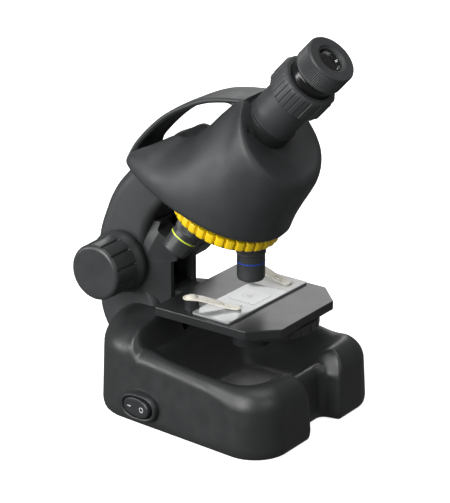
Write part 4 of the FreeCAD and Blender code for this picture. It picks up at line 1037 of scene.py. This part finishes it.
FLOOR_HALF, FLOOR_GLOW = 8000, 0.8
FLOOR_PALE, FLOOR_PALER = (0.84, 0.84, 0.84), (0.86, 0.86, 0.86)

paper = Finish("studio_floor")
paper.set(Emission_Color=(1, 1, 1, 1), Emission_Strength=FLOOR_GLOW)
paper_tone = paper.blend(paper.spread(paper.noise(60.0, 2.0), 0, 1), FLOOR_PALE, FLOOR_PALER)
paper_finish = paper.done(paper_tone, paper.spread(paper.noise(60.0, 2.0), 0.85, 0.9))
floor_corners = [(-FLOOR_HALF, -FLOOR_HALF), (FLOOR_HALF, -FLOOR_HALF), (FLOOR_HALF, FLOOR_HALF),
                 (-FLOOR_HALF, FLOOR_HALF)]
floor = make_object("studio_floor", skin([flat(floor_corners, 2, -0.02)], last=True))
floor.data.materials.append(paper_finish)
floor.visible_diffuse = floor.visible_glossy = False

AZIMUTH, ELEVATION, DISTANCE = math.radians(-54.37), math.radians(21.30), 1361.0
CAMERA_AIM, CAMERA_LEFT, CAMERA_UP = Vector((0, 1.8, 67.5)), 13.2, 26.7
FOCAL_LENGTH, SENSOR_WIDTH = 171.77, 36.0

back = Vector((math.sin(AZIMUTH) * math.cos(ELEVATION), -math.cos(AZIMUTH) * math.cos(ELEVATION),
               math.sin(ELEVATION)))
right = Vector((math.cos(AZIMUTH), math.sin(AZIMUTH), 0))
up = back.cross(right)
camera = bpy.data.objects.new("camera", bpy.data.cameras.new("camera"))
bpy.context.scene.collection.objects.link(camera)
camera.data.sensor_width, camera.data.lens = SENSOR_WIDTH, FOCAL_LENGTH
camera.data.clip_start, camera.data.clip_end = 0.05, 20
spot = (CAMERA_AIM + back * DISTANCE - right * CAMERA_LEFT + up * CAMERA_UP) * MM
camera.matrix_world = Matrix.Translation(spot) @ Matrix((right, up, back)).transposed().to_4x4()
bpy.context.scene.camera = camera


# Soft boxes, in metres and watts: place, size and power. All of them face LIGHT_AIM.
LIGHT_AIM = Vector((0, 0, 0.11))
LIGHTS = {
    "key_light": ((-1.65, 0.2, 1.05), (1.7, 1.2), 50),
    "side_light": ((-1.3, 1.3, 0.30), (1.0, 0.4), 13),
    "front_light": ((-0.5, -1.8, 1.3), (1.5, 1.2), 8),
    "top_light": ((0.3, -0.3, 1.9), (1.3, 1.3), 13),
    "rear_light": ((1.5, 1.1, 1.0), (1.2, 0.8), 7),
}
WORLD_STRENGTH = 0.14

for name, (place, size, power) in LIGHTS.items():
    data = bpy.data.lights.new(name, "AREA")
    data.shape, data.size, data.size_y = "RECTANGLE", size[0], size[1]
    data.energy = power
    light = bpy.data.objects.new(name, data)
    bpy.context.scene.collection.objects.link(light)
    light.matrix_world = frame_along(place, Vector(place) - LIGHT_AIM)
bpy.context.scene.view_settings.view_transform = "Standard"

world = bpy.data.worlds.new("studio")
bpy.context.scene.world = world
world.use_nodes = True
world.node_tree.nodes["Background"].inputs["Color"].default_value = (1.0, 1.0, 1.0, 1.0)
world.node_tree.nodes["Background"].inputs["Strength"].default_value = WORLD_STRENGTH
